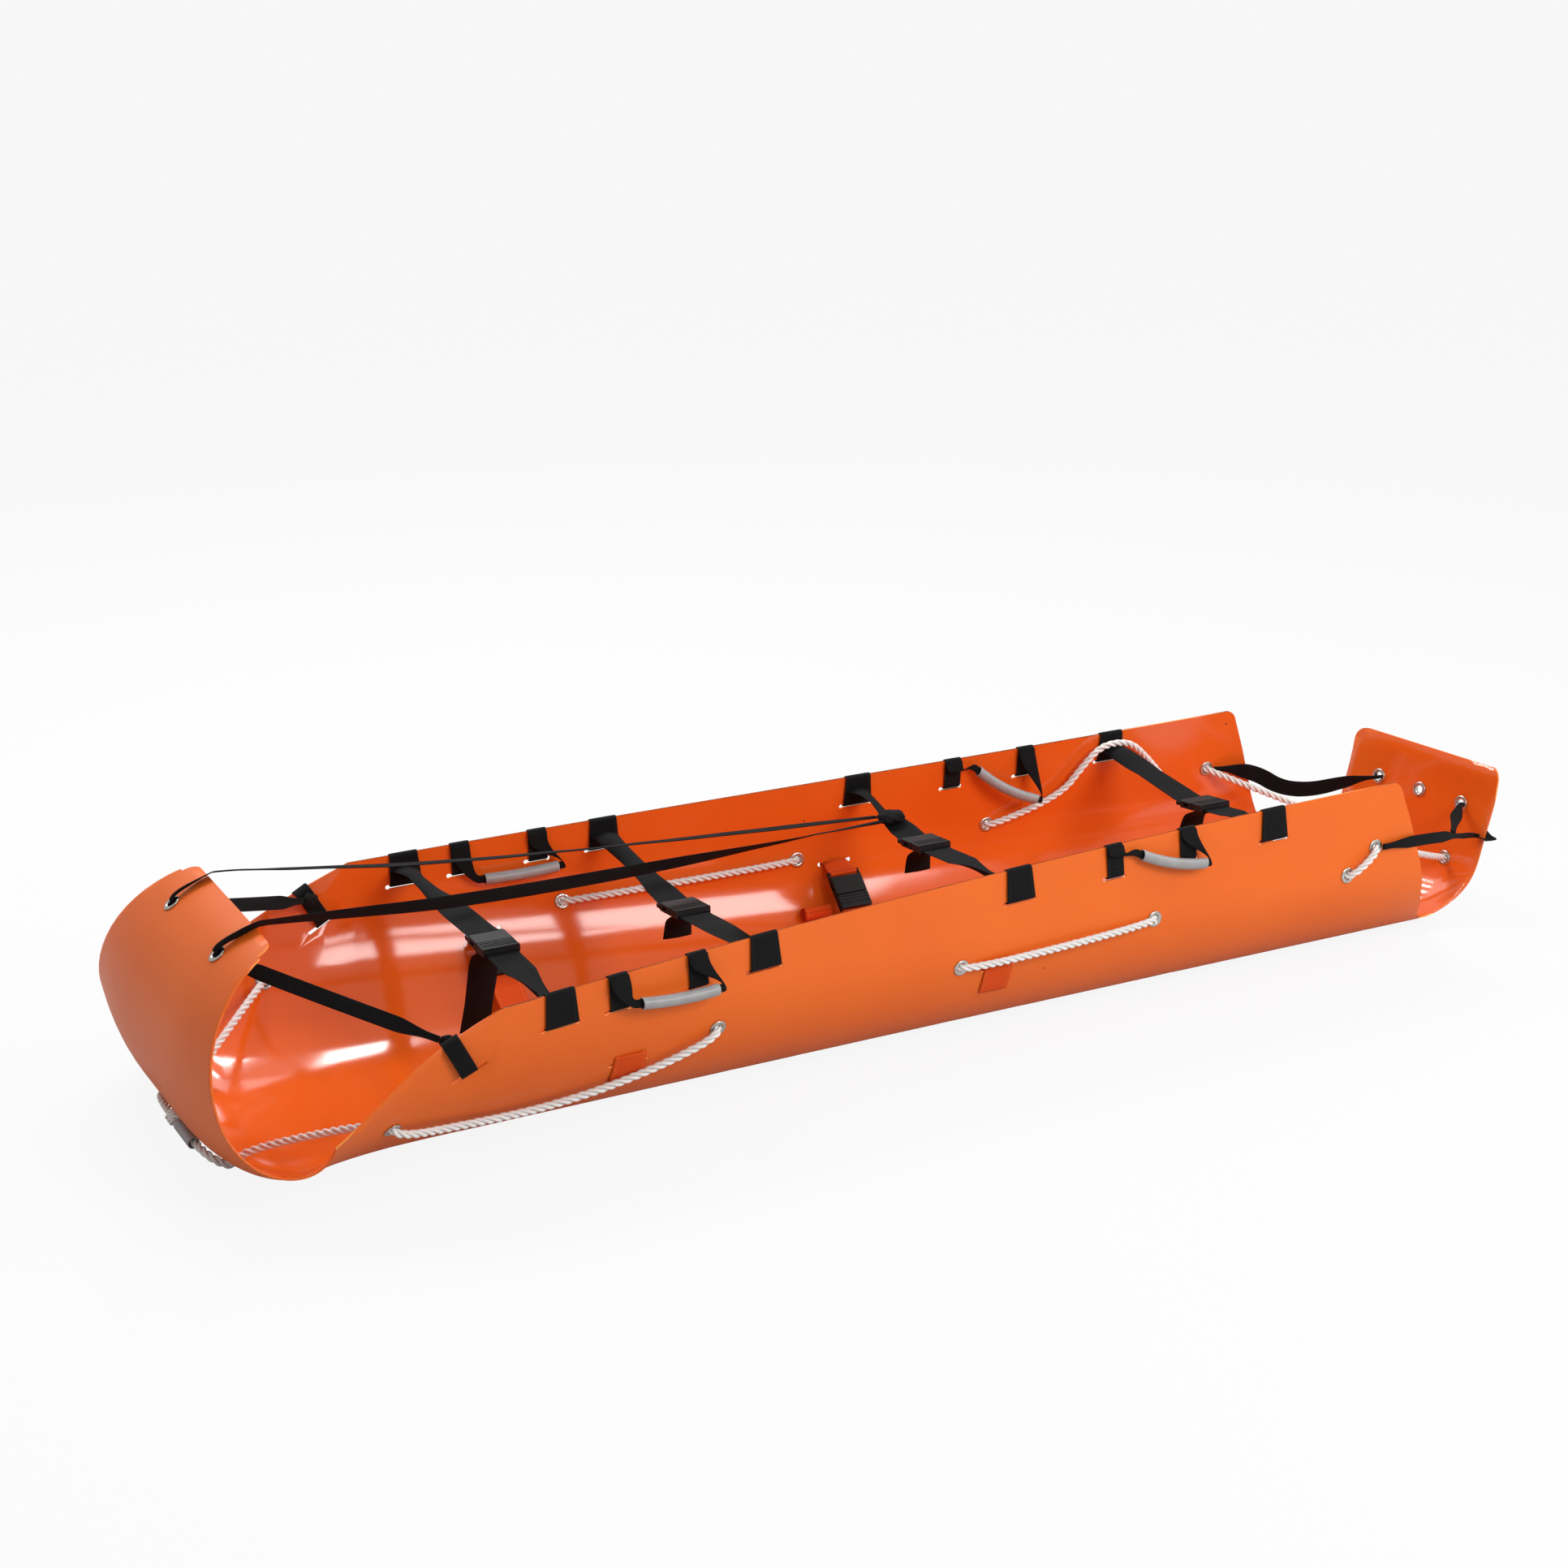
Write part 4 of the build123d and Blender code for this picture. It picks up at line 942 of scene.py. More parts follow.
def loop(name, place, width, drop, inner=ring_inner, flare=0.0):
    """Closed line: over the edge in a half turn, down, round the slit's half turn and up again."""
    radius = inner + webbing_thickness / 2
    top = np.linspace(0, math.pi, 13)
    down = np.linspace(0.06, 0.94, 9)
    rows_of = [np.stack((radius * np.cos(top), radius * np.sin(top)), axis=-1),
               np.stack((np.full(9, -radius), -drop * down), axis=-1),
               np.stack((-radius * np.cos(top), -drop - radius * np.sin(top)), axis=-1),
               np.stack((np.full(9, radius), -drop * down[::-1]), axis=-1)]
    flat_line = np.vstack(rows_of)
    line = place[0] + flat_line[:, :1] * place[1] + flat_line[:, 1:] * place[2]
    low_share = np.clip(-flat_line[:, 1] / drop, 0, 1)
    reach = (0.5 * width * (1 - flare * (1 - low_share)))[:, None] * place[3]
    return ribbon(name, line - reach, line + reach, webbing_thickness, ring_closed=True)


print("a loop stands", round(1000 * (ring_inner - half), 1), "mm off the sheet")

# %% [markdown]
# The two halves of a cross strap meet in a side-release buckle. Its socket and plug are hard
# parts, so they are the CAD's own solids with a better plastic, and the webbing is fitted to
# them: each buckle has a frame that runs from its socket to its plug.

# %% Buckle frames
strap_x = [-0.624, -0.307, 0.129, 0.606]
buckle_y = [-0.070, -0.026, 0.020, -0.052]
buckle_z = [0.237, 0.219, 0.233, 0.245]
bar_y = -0.038
body_low = -0.0032
prong_z = body_low + 0.0065
bar_radius, bar_gap = 0.0022, 0.0006
fold = bar_radius + bar_gap + webbing_thickness / 2
anchor_drop = 0.025
plug_start, plug_end = 0.005, 0.026
strap_width = 0.048


def buckle_place(x, y, z, toward):
    """Frame of a buckle: y runs from the socket to the plug, z is up."""
    along = unit(np.array((0, toward[1] - y, toward[2] - z)))
    back = np.array((-1.0, 0, 0))
    return np.array((np.array((x, y, z)), back, along, np.cross(back, along)))


def local(place, x, y, z):
    """The point at x, y and z in a frame."""
    return place[0] + x * place[1] + y * place[2] + z * place[3]


def anchor(x, side):
    """Where a cross strap leaves its loop, inside the wall."""
    point = above(wall_frame(x, anchor_drop, side), -ring_radius)
    return np.array((x, point[1], point[2]))


print("a strap turns round its bar at", round(1000 * fold, 1), "mm")

# %% [markdown]
# Between its loop and its buckle a strap is twisted and folds along the middle, so it looks
# narrower there. Cloth simulation would crumple it too, but not as on the photograph. Here the
# width, the cup and the twist are lists along the strap, so that each strap has its own shape.

# %% Cross straps
along_x = (1.0, 0.0, 0.0)
tail_steps = [[(0.008, 0.009), (0.038, 0.026), (0.058, 0.082), (0.090, 0.163)],
              [(0.006, 0.009), (0.026, 0.022), (0.030, 0.052)],
              [(0.006, 0.009), (0.024, 0.022), (0.026, 0.050)],
              [(0.006, 0.009), (0.028, 0.020), (0.036, 0.048)]]
tail_width, tail_cup = [strap_width, strap_width, 0.046, 0.044, 0.047], [0, 0.001, 0.005, 0.004, 0.002]
near_width = [0.034, 0.025, 0.034, strap_width, strap_width, strap_width]
near_cup = [0.009, 0.010, 0.006, 0.0, 0.0, 0.0]
near_twist = [[0, 26, 16, 0, 0, 0], [0, -18, -12, 0, 0, 0], [0, 24, 20, 0, 0, 0], [0, 12, 6, 0, 0, 0]]
far_cup = [0.006, 0.009, 0.007, 0.004, 0.002, 0, 0]
far_twist = [[0, -24, -10, 12, 8, 0, 0], [0, 20, 26, 12, 0, 0, 0], [0, -30, -38, -20, 14, 8, 0],
             [0, 16, 10, 0, 0, 0, 0]]
far_width = [[0.031, 0.030, 0.034, 0.042, 0.047], [0.030, 0.026, 0.028, 0.036, 0.046],
             [0.026, 0.023, 0.028, 0.034, 0.044], [0.038, 0.042, 0.045, 0.047, 0.048]]


def bar_fold(name, bar, start, pinch, twist=0.0):
    """The strap's far half: from its start to the socket's bar, with the fold round the bar."""
    away = unit(start - bar)
    down = np.cross(away, along_x)
    turn = np.linspace(-0.5 * math.pi, 1.35 * math.pi, 26)[:, None]
    wrap = bar + fold * (np.cos(turn) * -away + np.sin(turn) * down)
    run = flat_strap(f"{name}_run", [start, bar + fold * away * 1.15], along_x,
                     [0.042, *pinch, strap_width], cup=far_cup, twist=twist)
    reach = 0.5 * strap_width * np.array(along_x)
    return [run, ribbon(f"{name}_fold", wrap - reach, wrap + reach, webbing_thickness)]


for number, (x, y, z) in enumerate(zip(strap_x, buckle_y, buckle_z), start=1):
    near, far = anchor(x, -1), anchor(x, 1)
    place = buckle_place(x, y, z, near)
    bar = local(place, 0, bar_y, prong_z)
    start = local(place, 0, plug_start, 0)
    near_parts = [loop(f"near_loop_{number}", rim_place(x, -1), loop_width, ring_drop, flare=loop_flare),
                  flat_strap(f"near_run_{number}", [near, (near + start) / 2, start], along_x, near_width,
                             cup=near_cup, twist=near_twist[number - 1])]
    dress(joined(f"webbing_near_{number}", near_parts), black_webbing, "sheet_body", "black_webbing",
          f"strap_{number}_near")
    far_parts = [loop(f"far_loop_{number}", rim_place(x, 1), loop_width, ring_drop, flare=loop_flare)]
    far_parts += bar_fold(f"far_strap_{number}", bar, far, far_width[number - 1], far_twist[number - 1])
    dress(joined(f"webbing_far_{number}", far_parts), black_webbing, "sheet_body", "black_webbing",
          f"strap_{number}_far")
    under = body_low - webbing_thickness / 2 - clearance
    tail = [local(place, 0, plug_end, under), local(place, 0, 0.002, under)]
    tail += [np.array((x, y + step, z - drop)) for step, drop in tail_steps[number - 1]]
    loose = flat_strap(f"webbing_tail_{number}", tail, along_x, tail_width, cup=tail_cup)
    dress(loose, black_webbing, f"plug_{number}_body", "black_webbing", f"strap_tail_{number}")
    coat(buckle_black, f"socket_{number}", f"plug_{number}")
print("cross straps", len(strap_x))

# %% [markdown]
# A carry handle hangs from two loops. Its webbing is folded lengthways where it goes through
# the grey tube, so the ribbon's two edge lines close in on the tube and open out to the loops.
# A straight tube on a straight strap would be simpler, but the real ones sag, each a bit differently.

# %% Carry handles
handle_x = [-0.4755, 0.3705]
handle_span = [0.0615, 0.0685]
handle_width = 0.030
# How far each grip is shifted along the rim, hangs down, and how many degrees it tilts and leans
handle_hang = {(1, "near"): (0.020, 0.048, 5.0, 22.0), (1, "far"): (0.030, 0.058, 0.0, 9.0),
               (2, "near"): (0.032, 0.038, 17.0, 14.0), (2, "far"): (0.024, 0.054, 32.0, 24.0)}
tube_half = 0.059
tube_sag = {(1, "near"): 0.003, (1, "far"): 0.002, (2, "near"): 0.006, (2, "far"): 0.007}
core_half = 0.0058
grip_bore, grip_thickness = 0.0070, 0.0030
tip_reach, tip_flare = 0.013, 0.004
grip_depth = ring_radius + webbing_thickness + 0.0004


def hinge_place(x, span, side):
    """Frame on a handle's hinge line: x along the rim, y up the wall."""
    ends = [trough_point(x + end * span, side * (half_girth - ring_sink)) for end in (-1, 1)]
    low = trough_point(x, side * (half_girth - ring_drop))
    middle = (ends[0] + ends[1]) / 2
    along = unit(ends[1] - ends[0])
    out = unit(np.cross(along, middle - low))
    return np.array((middle, along, np.cross(out, along), out))


def grip_edges(span, shift, drop, tilt, sag):
    """Upper and lower edge of the grip's webbing in its own plane; it sags with its tube."""
    slope = -math.radians(tilt)

    def on_tube(out, rise):
        """A point of the tilted tube: rise less sag * (1 - (out / half length) squared)."""
        rise -= sag * (1 - (out / tube_half) ** 2)
        return (shift + out * math.cos(slope) - rise * math.sin(slope),
                -drop + out * math.sin(slope) + rise * math.cos(slope))

    half_width = handle_width / 2
    tip = tube_half + tip_reach
    upper = [(-span + half_width, 0), (-span + half_width, -0.4 * drop), on_tube(-tip, core_half),
             *[on_tube(step * tube_half, core_half) for step in (-1, -0.5, 0, 0.5, 1)],
             on_tube(tip, core_half), (span - half_width, -0.4 * drop), (span - half_width, 0)]
    lower = [(-span - half_width, 0), (-span - half_width, -0.4 * drop),
             on_tube(-tip - tip_flare, -core_half),
             *[on_tube(step * tube_half, -core_half) for step in (-1, -0.5, 0, 0.5, 1)],
             on_tube(tip + tip_flare, -core_half), (span + half_width, -0.4 * drop), (span + half_width, 0)]
    return rounded(upper), rounded(lower)


for number, (x, span) in enumerate(zip(handle_x, handle_span), start=1):
    for side, word in ((-1, "near"), (1, "far")):
        place = hinge_place(x, span, side)
        shift, drop, tilt, lean = handle_hang[(number, word)]
        loops = []
        for end in (-1, 1):
            centre = local(place, end * span, 0, 0)
            low = trough_point(centre[0], side * (half_girth - ring_sink - ring_drop))
            loops.append(loop(f"grip_loop_{number}_{word}_{end + 1}", ring_place(centre, low, place[1]),
                              handle_width, ring_drop))
        dress(joined(f"rim_loops_{number}_{word}", loops), sewn_webbing, "sheet_body", "black_webbing",
              f"handle_loops_{number}_{word}")
        tip = math.radians(lean)
        up = place[2] * math.cos(tip) - place[3] * math.sin(tip)
        out = place[2] * math.sin(tip) + place[3] * math.cos(tip)
        hung = np.array((place[0], place[1], up, out))
        sag = tube_sag[(number, word)]
        upper, lower = grip_edges(span, shift, drop, tilt, sag)
        edges = [hung[0] + edge[:, :1] * hung[1] + edge[:, 1:] * hung[2] + grip_depth * hung[3]
                 for edge in (upper, lower)]
        body = f"grip_{number}_{word}_body"
        dress(ribbon(f"grip_webbing_{number}_{word}", edges[0], edges[1], grip_thickness), black_webbing,
              body, "black_webbing", f"handle_grip_{number}_{word}")
        turned = math.radians(tilt)
        tube_way = hung[1] * math.cos(turned) - hung[2] * math.sin(turned)
        tube_up = hung[1] * math.sin(turned) + hung[2] * math.cos(turned)
        tube_place = np.array((local(hung, shift, -drop, grip_depth), hung[3], tube_up, tube_way))
        grip_outline = hose_outline(grip_bore, hose_radius, tube_half)
        dress(lathed(f"grip_tube_{number}_{word}", tube_place, grip_outline, sag=sag), tube_grey, body,
              "tube", f"handle_tube_{number}_{word}")
print("handles", len(handle_hang))

# %% [markdown]
# The ties and end straps are flat narrow webbing. Where one is pulled through a grommet it
# folds to a thick bunch, and it opens out again beyond. Each follows a smooth NURBS line, and
# its width along that line comes from the distance to the nearest hole. Each fold could be drawn
# by hand, but one rule for all of them keeps a strap right when its route changes.

# %% Narrow webbing
bunch_width, bunch_thickness, bunch_cup = 0.0095, 0.0040, 0.0012
thinning, sway_height, sway_rate = 0.0022, 0.0010, 41
bunch_reach, opening_run = 0.012, 0.050


def narrow_strap(name, line, holes, width, twist):
    """Width across the line = wide, less a dip near each hole; across is level, turned by the twist."""
    tangent = unit(np.gradient(line, axis=0))
    level = unit(np.cross(tangent, (0, 0, 1)))
    rise = np.cross(level, tangent)
    reach = lengths(line)
    turn = spread(np.radians(twist), reach / reach[-1])[:, None]
    over = np.cos(turn) * level + np.sin(turn) * rise
    gap = np.min([np.linalg.norm(line - hole, axis=1) for hole in holes], axis=0)
    open_share = np.clip((gap - bunch_reach) / opening_run, 0, 1)
    open_share = open_share ** 2 * (3 - 2 * open_share)
    widths = bunch_width + (width - bunch_width) * open_share
    thick = bunch_thickness - thinning * open_share
    sway = sway_height * np.sin(reach * sway_rate) * open_share
    cup = sway + bunch_cup * (1 - open_share)
    half_way = 0.5 * widths[:, None] * over
    return ribbon(name, line - half_way, line + half_way, thick[:, None, None], cup)


def knotted(name, place, size, turns):
    """A knot of webbing: an egg-shaped skin whose radius rises and falls along slanted folds.
    Radius = (1 - height ** 2.6) ** 0.38 * (1 + two sine waves that slant with the height)."""
    stations, profile = 48, 56
    height = np.linspace(-0.97, 0.97, stations)[:, None]
    turn = np.linspace(0, 2 * math.pi, profile, endpoint=False)[None, :]
    fold_wave = 1 + 0.10 * np.sin(turns * turn + 4.5 * height) + 0.05 * np.sin(5 * turn - 7 * height)
    reach = (1 - np.abs(height) ** 2.6) ** 0.38 * fold_wave
    grid = (place[0] + 0.5 * size[0] * height[..., None] * np.ones((1, profile, 1)) * place[1]
            + 0.47 * size[1] * (reach * np.cos(turn))[..., None] * place[2]
            + 0.47 * size[2] * (reach * np.sin(turn))[..., None] * place[3])
    along = np.broadcast_to(0.5 * size[0] * height, grid.shape[:2])
    over = 0.02 * np.broadcast_to(np.sin(turn), grid.shape[:2])
    return skin(name, grid, along, over)


print("narrow webbing bunches to", 1000 * bunch_width, "mm in a hole")

# %% [markdown]
# The two ties meet on the third cross strap in one knot. Its own turns can't be followed on the
# photograph, so it is an egg-shaped bunch with slanted folds, which lies on the strap.

# %% Knot on the third strap
knot_x, knot_y = strap_x[2], 0.118
place = buckle_place(knot_x, buckle_y[2], buckle_z[2], anchor(knot_x, -1))
bar = local(place, 0, bar_y, prong_z)
far = anchor(knot_x, 1)
slope = np.array((0, far[1] - bar[1], far[2] - bar[2]))
on_strap = np.array((knot_x - 0.008, knot_y, bar[2] + (knot_y - bar[1]) / slope[1] * slope[2]))
knot_out = unit(np.cross(along_x, slope))
knot_size = (0.044, 0.034, 0.020)
knot_place = np.array((on_strap + knot_out * (webbing_thickness / 2 + clearance + knot_size[2] / 2),
                       along_x, np.cross(knot_out, along_x), knot_out))
dress(knotted("strap_knot", knot_place, knot_size, 3), narrow_webbing, "sheet_body", "tie", "tie_knot")
print("tie knot at", np.round(knot_place[0], 3))

# %% [markdown]
# A tie holds each side of the curl. It starts from a loop round the slanted edge, goes through
# the grommet in the curl's end and runs along the inside to the knot. It is taut, so its line is
# nearly straight, and the twist list turns its flat side as on the photograph.

# %% Ties from the taper through the curl to the knot
tie_slit_run, tie_edge_run, tie_slit_drop = 0.046, 0.075, 0.068
tie_loop_width = 0.025
tie_stand = 0.013
bore_shift = 0.0067 - 0.0032 - clearance
tie_inner = half + 0.008
tie_sink = math.sqrt((tie_inner - 0.0013 - clearance) ** 2 - half ** 2)
lump_size = (0.034, 0.022, 0.015)
tie_width = 0.021
tie_twist = {"near": [75, 62, 70, 40, 60, 78, 84, 80, 66, 40, 22, 10],
             "far": [70, 62, 30, 12, 6, 10, 16, 8, 4, 10]}
for side, word, hole in zip((-1, 1), ("near", "far"), curl_holes):
    slit = curl_frame(tie_slit_run, side * (half_girth - taper_rate * tie_slit_run - tie_slit_drop))
    edge = curl_point(tie_edge_run, side * (half_girth - taper_rate * tie_edge_run))
    away = unit(edge - slit[0])
    centre = edge - away * tie_sink
    drop = np.linalg.norm(centre - slit[0]) - tie_inner - webbing_thickness / 2
    place = ring_place(centre, slit[0], unit(np.cross(away, slit[3])))
    if place[1] @ slit[3] < 0:
        place = place * np.array((1, -1, 1, -1))[:, None]
    lump = local(place, -tie_inner - lump_size[2] / 2, -lump_size[1] / 2, 0)
    toward = unit(above(hole, -tie_stand) - lump)
    lump_out = unit(place[1] - toward * (place[1] @ toward))
    lump_place = np.array((lump, toward, np.cross(lump_out, toward), lump_out))
    ring_parts = [loop(f"tie_loop_{word}", place, tie_loop_width, drop, tie_inner),
                  knotted(f"tie_lump_{word}", lump_place, lump_size, 2)]
    dress(joined(f"webbing_tie_ring_{word}", ring_parts), narrow_webbing, "sheet_body", "tie",
          f"tie_ring_{word}")
    edge_place = curl_frame(curl_length - 0.002, side * 0.109)
    end = local(knot_place, -knot_size[0] / 2 - 3 * clearance, side * 0.009, 0)
    points = [lump + toward * (lump_size[0] / 2 + clearance)] + through(hole, tie_stand, up=bore_shift) + [
        above(edge_place, 0.008), above(edge_place, 0.006, along=0.016),
        np.array((-0.560, side * 0.072 + 0.016, 0.299)), end]
    line = route_line(f"tie_route_{word}", points)
    strap = narrow_strap(f"webbing_tie_{word}", line, [points[0], hole[0], end], tie_width, tie_twist[word])
    made = dress(strap, narrow_webbing, "sheet_body", "tie", f"tie_{word}")
    print("tie", word, round(lengths(line)[-1], 3), "m")

# %% [markdown]
# A short strap holds each side of the end flap. The near one goes round the flap's side edge and
# through a grommet, and comes back to itself. The far one goes through a grommet and ends in a
# small knot behind it. Both hang a little loose, so their points are set off a straight line.

# %% End straps at the flap
near_f, near_hole = rows[-1]["f"], flap_holes[0]
edge_place = flap_frame(flap_length - 0.118, -flap_half)
off = 1 if edge_place[2][1] < 0 else -1
reach = [above(near_f, 0.013, along=0.104), above(edge_place, -0.010, up=-off * 0.016)]
near_points = [above(near_f, 0.008, along=0.0105)] + reach + [
    above(edge_place, -0.010, up=off * 0.010), above(edge_place, 0.010, up=off * 0.010),
    above(edge_place, 0.013, up=-off * 0.016), above(near_hole, tie_stand, up=bore_shift),
    above(near_hole, -tie_stand, up=bore_shift),
    reach[0] + (reach[1] - reach[0]) * 0.6 + np.array((-0.003, 0.006, 0.006))]
far_f, far_hole = rows[1]["f"], flap_holes[2]
far_points = [above(far_f, -0.008, along=0.0105), above(far_f, -0.022, along=0.070),
              np.array((0.960, 0.172, 0.142)), above(far_hole, -0.040, up=bore_shift),
              above(far_hole, tie_stand, up=bore_shift)]
end_widths = {"near": 0.020, "far": 0.030}
end_twist = {"near": [90, 85, 80, 40, 0, 0, 30], "far": [60, 75, 80, 60, 30]}
for word, points in (("near", near_points), ("far", far_points)):
    line = route_line(f"end_route_{word}", points)
    holes = [points[0], near_hole[0], near_points[-1]] if word == "near" else [points[0], far_hole[0]]
    made = narrow_strap(f"webbing_end_{word}", line, holes, end_widths[word], end_twist[word])
    stopper = None
    if word == "far":
        stop_place = np.vstack((above(far_hole, tie_stand + 0.002, up=bore_shift), far_hole[1:]))
        stopper = knotted("end_knot", stop_place, (0.018, 0.018, 0.018), 2)
        dress(stopper, narrow_webbing, "sheet_body", "tie")
    dress(made, narrow_webbing, "sheet_body", "tie", f"end_strap_{word}")
    print("end strap", word, round(lengths(line)[-1], 3), "m")

# %% [markdown]
# Two orange straps hold the stretcher when it is rolled up. In use they lie along the inside of
# the trough, from a sewn patch outside the wall, and the end of one is rolled into a coil. They
# could be projected on the sheet, but the section's own arc is known, so they follow that.

# %% Roll-up straps
roll_x = [-0.512, 0.092]
roll_lie = 0.0042
roll_width = 0.048
roll_slit_drop, roll_low_drop, roll_top_drop = 0.145, 0.188, 0.128
roll_bar_rise, roll_bar_back = 0.027, 0.018
tail_run = 0.060
for number, x in enumerate(roll_x, start=1):
    flat, radius, _ = trough_section(x)
    centre_z = radius + half
    slit_angle, low_angle, top_angle = [
        (half_girth - drop - flat) / radius for drop in (roll_slit_drop, roll_low_drop, roll_top_drop)]

    def arc_point(distance, angle, side):
        """Side = flat + distance * sin angle, height = arc's centre - distance * cos angle."""
        reach = flat + distance * math.sin(angle)
        return np.array((x, side * reach, centre_z - distance * math.cos(angle)))

    def arc(distance, first, last, side, steps=12):
        """Points of the section's arc between two angles."""
        return [arc_point(distance, angle, side) for angle in np.linspace(first, last, steps)]

    inner, outer = radius - roll_lie, radius + roll_lie
    wall_bar = arc_point(radius - roll_bar_rise, slit_angle - roll_bar_back / radius, 1)
    toward = np.array((x, flat + 0.012, half + roll_lie))
    at_bar = buckle_place(x, wall_bar[1], wall_bar[2], toward)
    place = np.vstack((local(at_bar, 0, -bar_y, -prong_z), at_bar[1:]))
    bar = local(place, 0, bar_y, prong_z)
    start, stop = local(place, 0, plug_start, 0), local(place, 0, plug_end + tail_run, 0)
    near_line = arc(inner, slit_angle, 0, -1) + [arc_point(inner, 0, -1) * (1, -0.75, 1), stop, start]
    near_pass = [arc_point(outer, slit_angle, -1), arc_point(inner, slit_angle, -1)]
    parts = [flat_strap(f"roll_run_{number}", near_line, along_x, roll_width),
             flat_strap(f"roll_patch_{number}", arc(outer, low_angle, top_angle, -1), along_x, roll_width),
             flat_strap(f"roll_pass_{number}", near_pass, along_x, roll_width)]
    dress(joined(f"roll_webbing_{number}_near", parts), orange_webbing, "sheet_body", "orange_webbing",
          f"roll_strap_{number}_near")
    slit_inner = arc_point(inner, slit_angle, 1)
    far_patch, far_pass = arc(outer, low_angle, top_angle, 1), [arc_point(outer, slit_angle, 1), slit_inner]
    far_parts = [flat_strap(f"roll_far_patch_{number}", far_patch, along_x, roll_width),
                 flat_strap(f"roll_far_pass_{number}", far_pass, along_x, roll_width)]
    far_parts += bar_fold(f"roll_far_{number}", bar, slit_inner, [0.047, 0.047, 0.047])
    dress(joined(f"roll_webbing_{number}_far", far_parts), orange_webbing, "sheet_body", "orange_webbing",
          f"roll_strap_{number}_far")
    coat(buckle_black, f"roll_socket_{number}", f"roll_plug_{number}")
print("roll-up straps", len(roll_x))

# %% [markdown]
# The coil is a ribbon along a spiral. It takes its place from the box of its CAD node, because
# nothing else on the sheet tells where a loose end was put down.

# %% Coil of the loose end
coil_turns, coil_core, coil_edge, coil_thickness = 4.4, 0.0035, 0.0112, 0.0011
coil_low, coil_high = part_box("roll_coil")
coil_middle = (np.array(coil_low) + np.array(coil_high)) / 2
coil_turn = np.linspace(0, coil_turns * 2 * math.pi, 180)[:, None]
coil_radius = coil_core + (coil_edge - coil_core) * coil_turn / coil_turn[-1]
spiral = coil_middle + coil_radius * (np.cos(coil_turn) * (0, 1, 0) + np.sin(coil_turn) * (0, 0, 1))
reach = 0.5 * roll_width * np.array(along_x)
dress(ribbon("webbing_coil", spiral - reach, spiral + reach, coil_thickness), orange_webbing,
      "sheet_body", "orange_webbing", "roll_coil")
print("coil at", np.round(coil_middle, 3))

# %% [markdown]
# The floor is a plain pale plane. It and the world look white to the camera, and they light the
# sheet softly. A key, an end and a back lamp shape it, and a row of soft boxes overhead gives
# the glossy inside its bright patches, as in a product studio.


# %% Floor and world
def seen_directly(paint):
    """1 for rays that come from the camera or through a clear surface, and 0 for all others."""
    light = paint.node("ShaderNodeLightPath", {}, {}, "Is Camera Ray")
    clear = Wire(paint, light.socket.node.outputs["Is Transmission Ray"])
    return light.math("MAXIMUM", light, clear)


floor_paint = Paint("pale_floor")
floor_grain = floor_paint.noise(30.0)
floor_shader = floor_paint.node("ShaderNodeBsdfPrincipled", {}, {
    "Base Color": (0.58, 0.58, 0.58, 1), "Roughness": 0.6 + 0.1 * floor_grain})
white = floor_paint.node("ShaderNodeEmission", {}, {"Color": (1, 1, 1, 1), "Strength": 1.0})
seen = seen_directly(floor_paint) * 0.90
mixed = floor_paint.node("ShaderNodeMixShader", {}, {0: seen, 1: floor_shader, 2: white})
floor_paint.node("ShaderNodeOutputMaterial", {}, {"Surface": mixed})
corner = np.array([(-1, -1), (1, -1), (1, 1), (-1, 1)])
floor_reach, floor_drop = 60.0, 0.0005
floor_corners = np.hstack((corner * floor_reach, np.full((4, 1), -floor_drop)))
floor_mesh = bpy.data.meshes.new("studio_floor")
floor_mesh.from_pydata(floor_corners.tolist(), [], [(0, 1, 2, 3)])
floor = linked("studio_floor", floor_mesh)
floor_mesh.materials.append(floor_paint.material)
sky = Paint("studio", "worlds")
bpy.context.scene.world = sky.material
dim = sky.node("ShaderNodeBackground", {}, {"Color": (1, 1, 1, 1), "Strength": 0.50})
bright = sky.node("ShaderNodeBackground", {}, {"Color": (1, 1, 1, 1), "Strength": 1.0})
world_mix = sky.node("ShaderNodeMixShader", {}, {0: seen_directly(sky), 1: dim, 2: bright})
sky.node("ShaderNodeOutputWorld", {}, {"Surface": world_mix})
print("floor reaches", floor_reach, "m each way")

# %% [markdown]
# Each lamp is a soft rectangle that looks at a point of the stretcher. A picture of a studio round
# the scene would light it too, but lamps can be moved until each bright patch sits where it should.


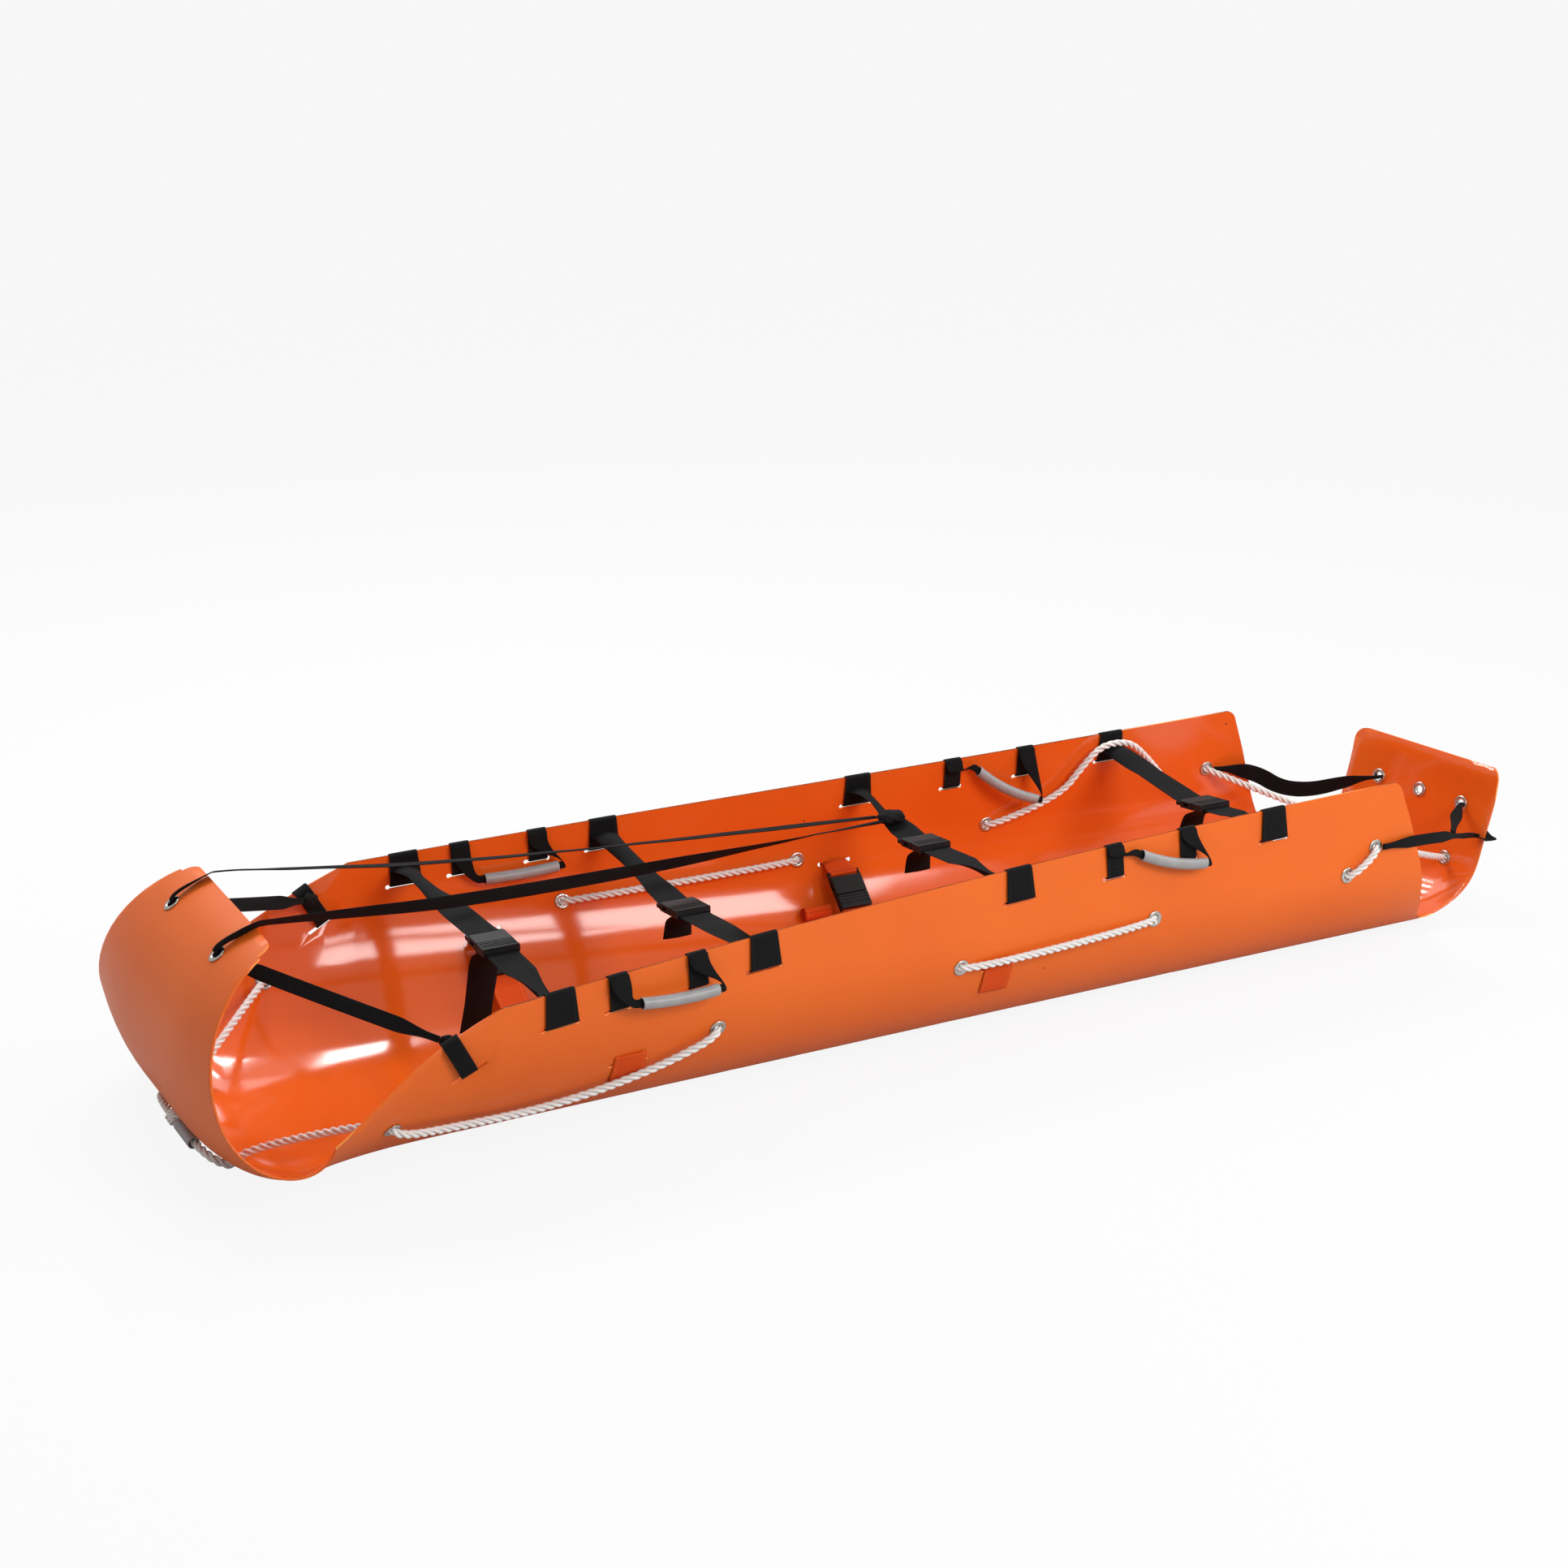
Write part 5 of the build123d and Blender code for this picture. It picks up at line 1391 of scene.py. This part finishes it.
# %% Lamps
def aimed(place, target):
    """Matrix at a place whose -z looks at the target."""
    back = unit(np.array(place) - np.array(target))
    right = unit(np.cross((0, 0, 1), back))
    turn = np.eye(4)
    turn[:3, 0], turn[:3, 1], turn[:3, 2], turn[:3, 3] = right, np.cross(back, right), back, place
    return Matrix(turn.tolist())


def lamp(name, place, target, size, power):
    """A soft rectangular lamp."""
    light = bpy.data.lights.new(name, "AREA")
    light.shape = "RECTANGLE"
    light.size, light.size_y = size
    light.energy = power
    linked(name, light).matrix_world = aimed(place, target)


lamp("key_lamp", (1.0, -3.1, 2.3), (0.1, 0.0, 0.1), (2.0, 1.4), 84)
lamp("end_lamp", (2.8, -0.6, 2.2), (0.0, 0.0, 0.1), (1.6, 1.6), 28)
lamp("back_lamp", (-0.4, 2.8, 2.4), (0.0, 0.0, 0.1), (2.6, 1.0), 16)
for number, box_x in enumerate(np.linspace(-1.2, 0.9, 4)):
    lamp(f"overhead_lamp_{number}", (box_x, 1.9, 2.9), (box_x, 0.2, 0.0), (0.24, 1.0), 20)

# %% [markdown]
# The camera was solved from the photograph: it stands about 4 m away and looks down past the
# curled end with a lens of 61 mm on a 36 mm wide film. It could be turned by eye until the outlines
# agree, but points on the rim, whose places are known, fix it better.

# %% Camera
camera_place = (-1.8691, -3.3046, 1.6321)
yaw, pitch, roll = math.radians(-27.737), math.radians(18.542), math.radians(0.182)
back = np.array((math.sin(yaw) * math.cos(pitch), -math.cos(yaw) * math.cos(pitch), math.sin(pitch)))
right = np.array((math.cos(yaw), math.sin(yaw), 0))
up = np.cross(back, right)
camera_data = bpy.data.cameras.new("photo_camera")
camera_data.lens = 60.96
camera_data.sensor_width = 36.0
camera = linked("photo_camera", camera_data)
turn = np.eye(4)
turn[:3, 0] = math.cos(roll) * right + math.sin(roll) * up
turn[:3, 1] = math.cos(roll) * up - math.sin(roll) * right
turn[:3, 2] = back
turn[:3, 3] = camera_place
camera.matrix_world = Matrix(turn.tolist())
bpy.context.scene.camera = camera
bpy.context.scene.view_settings.view_transform = "Standard"
print("camera at", camera_place)
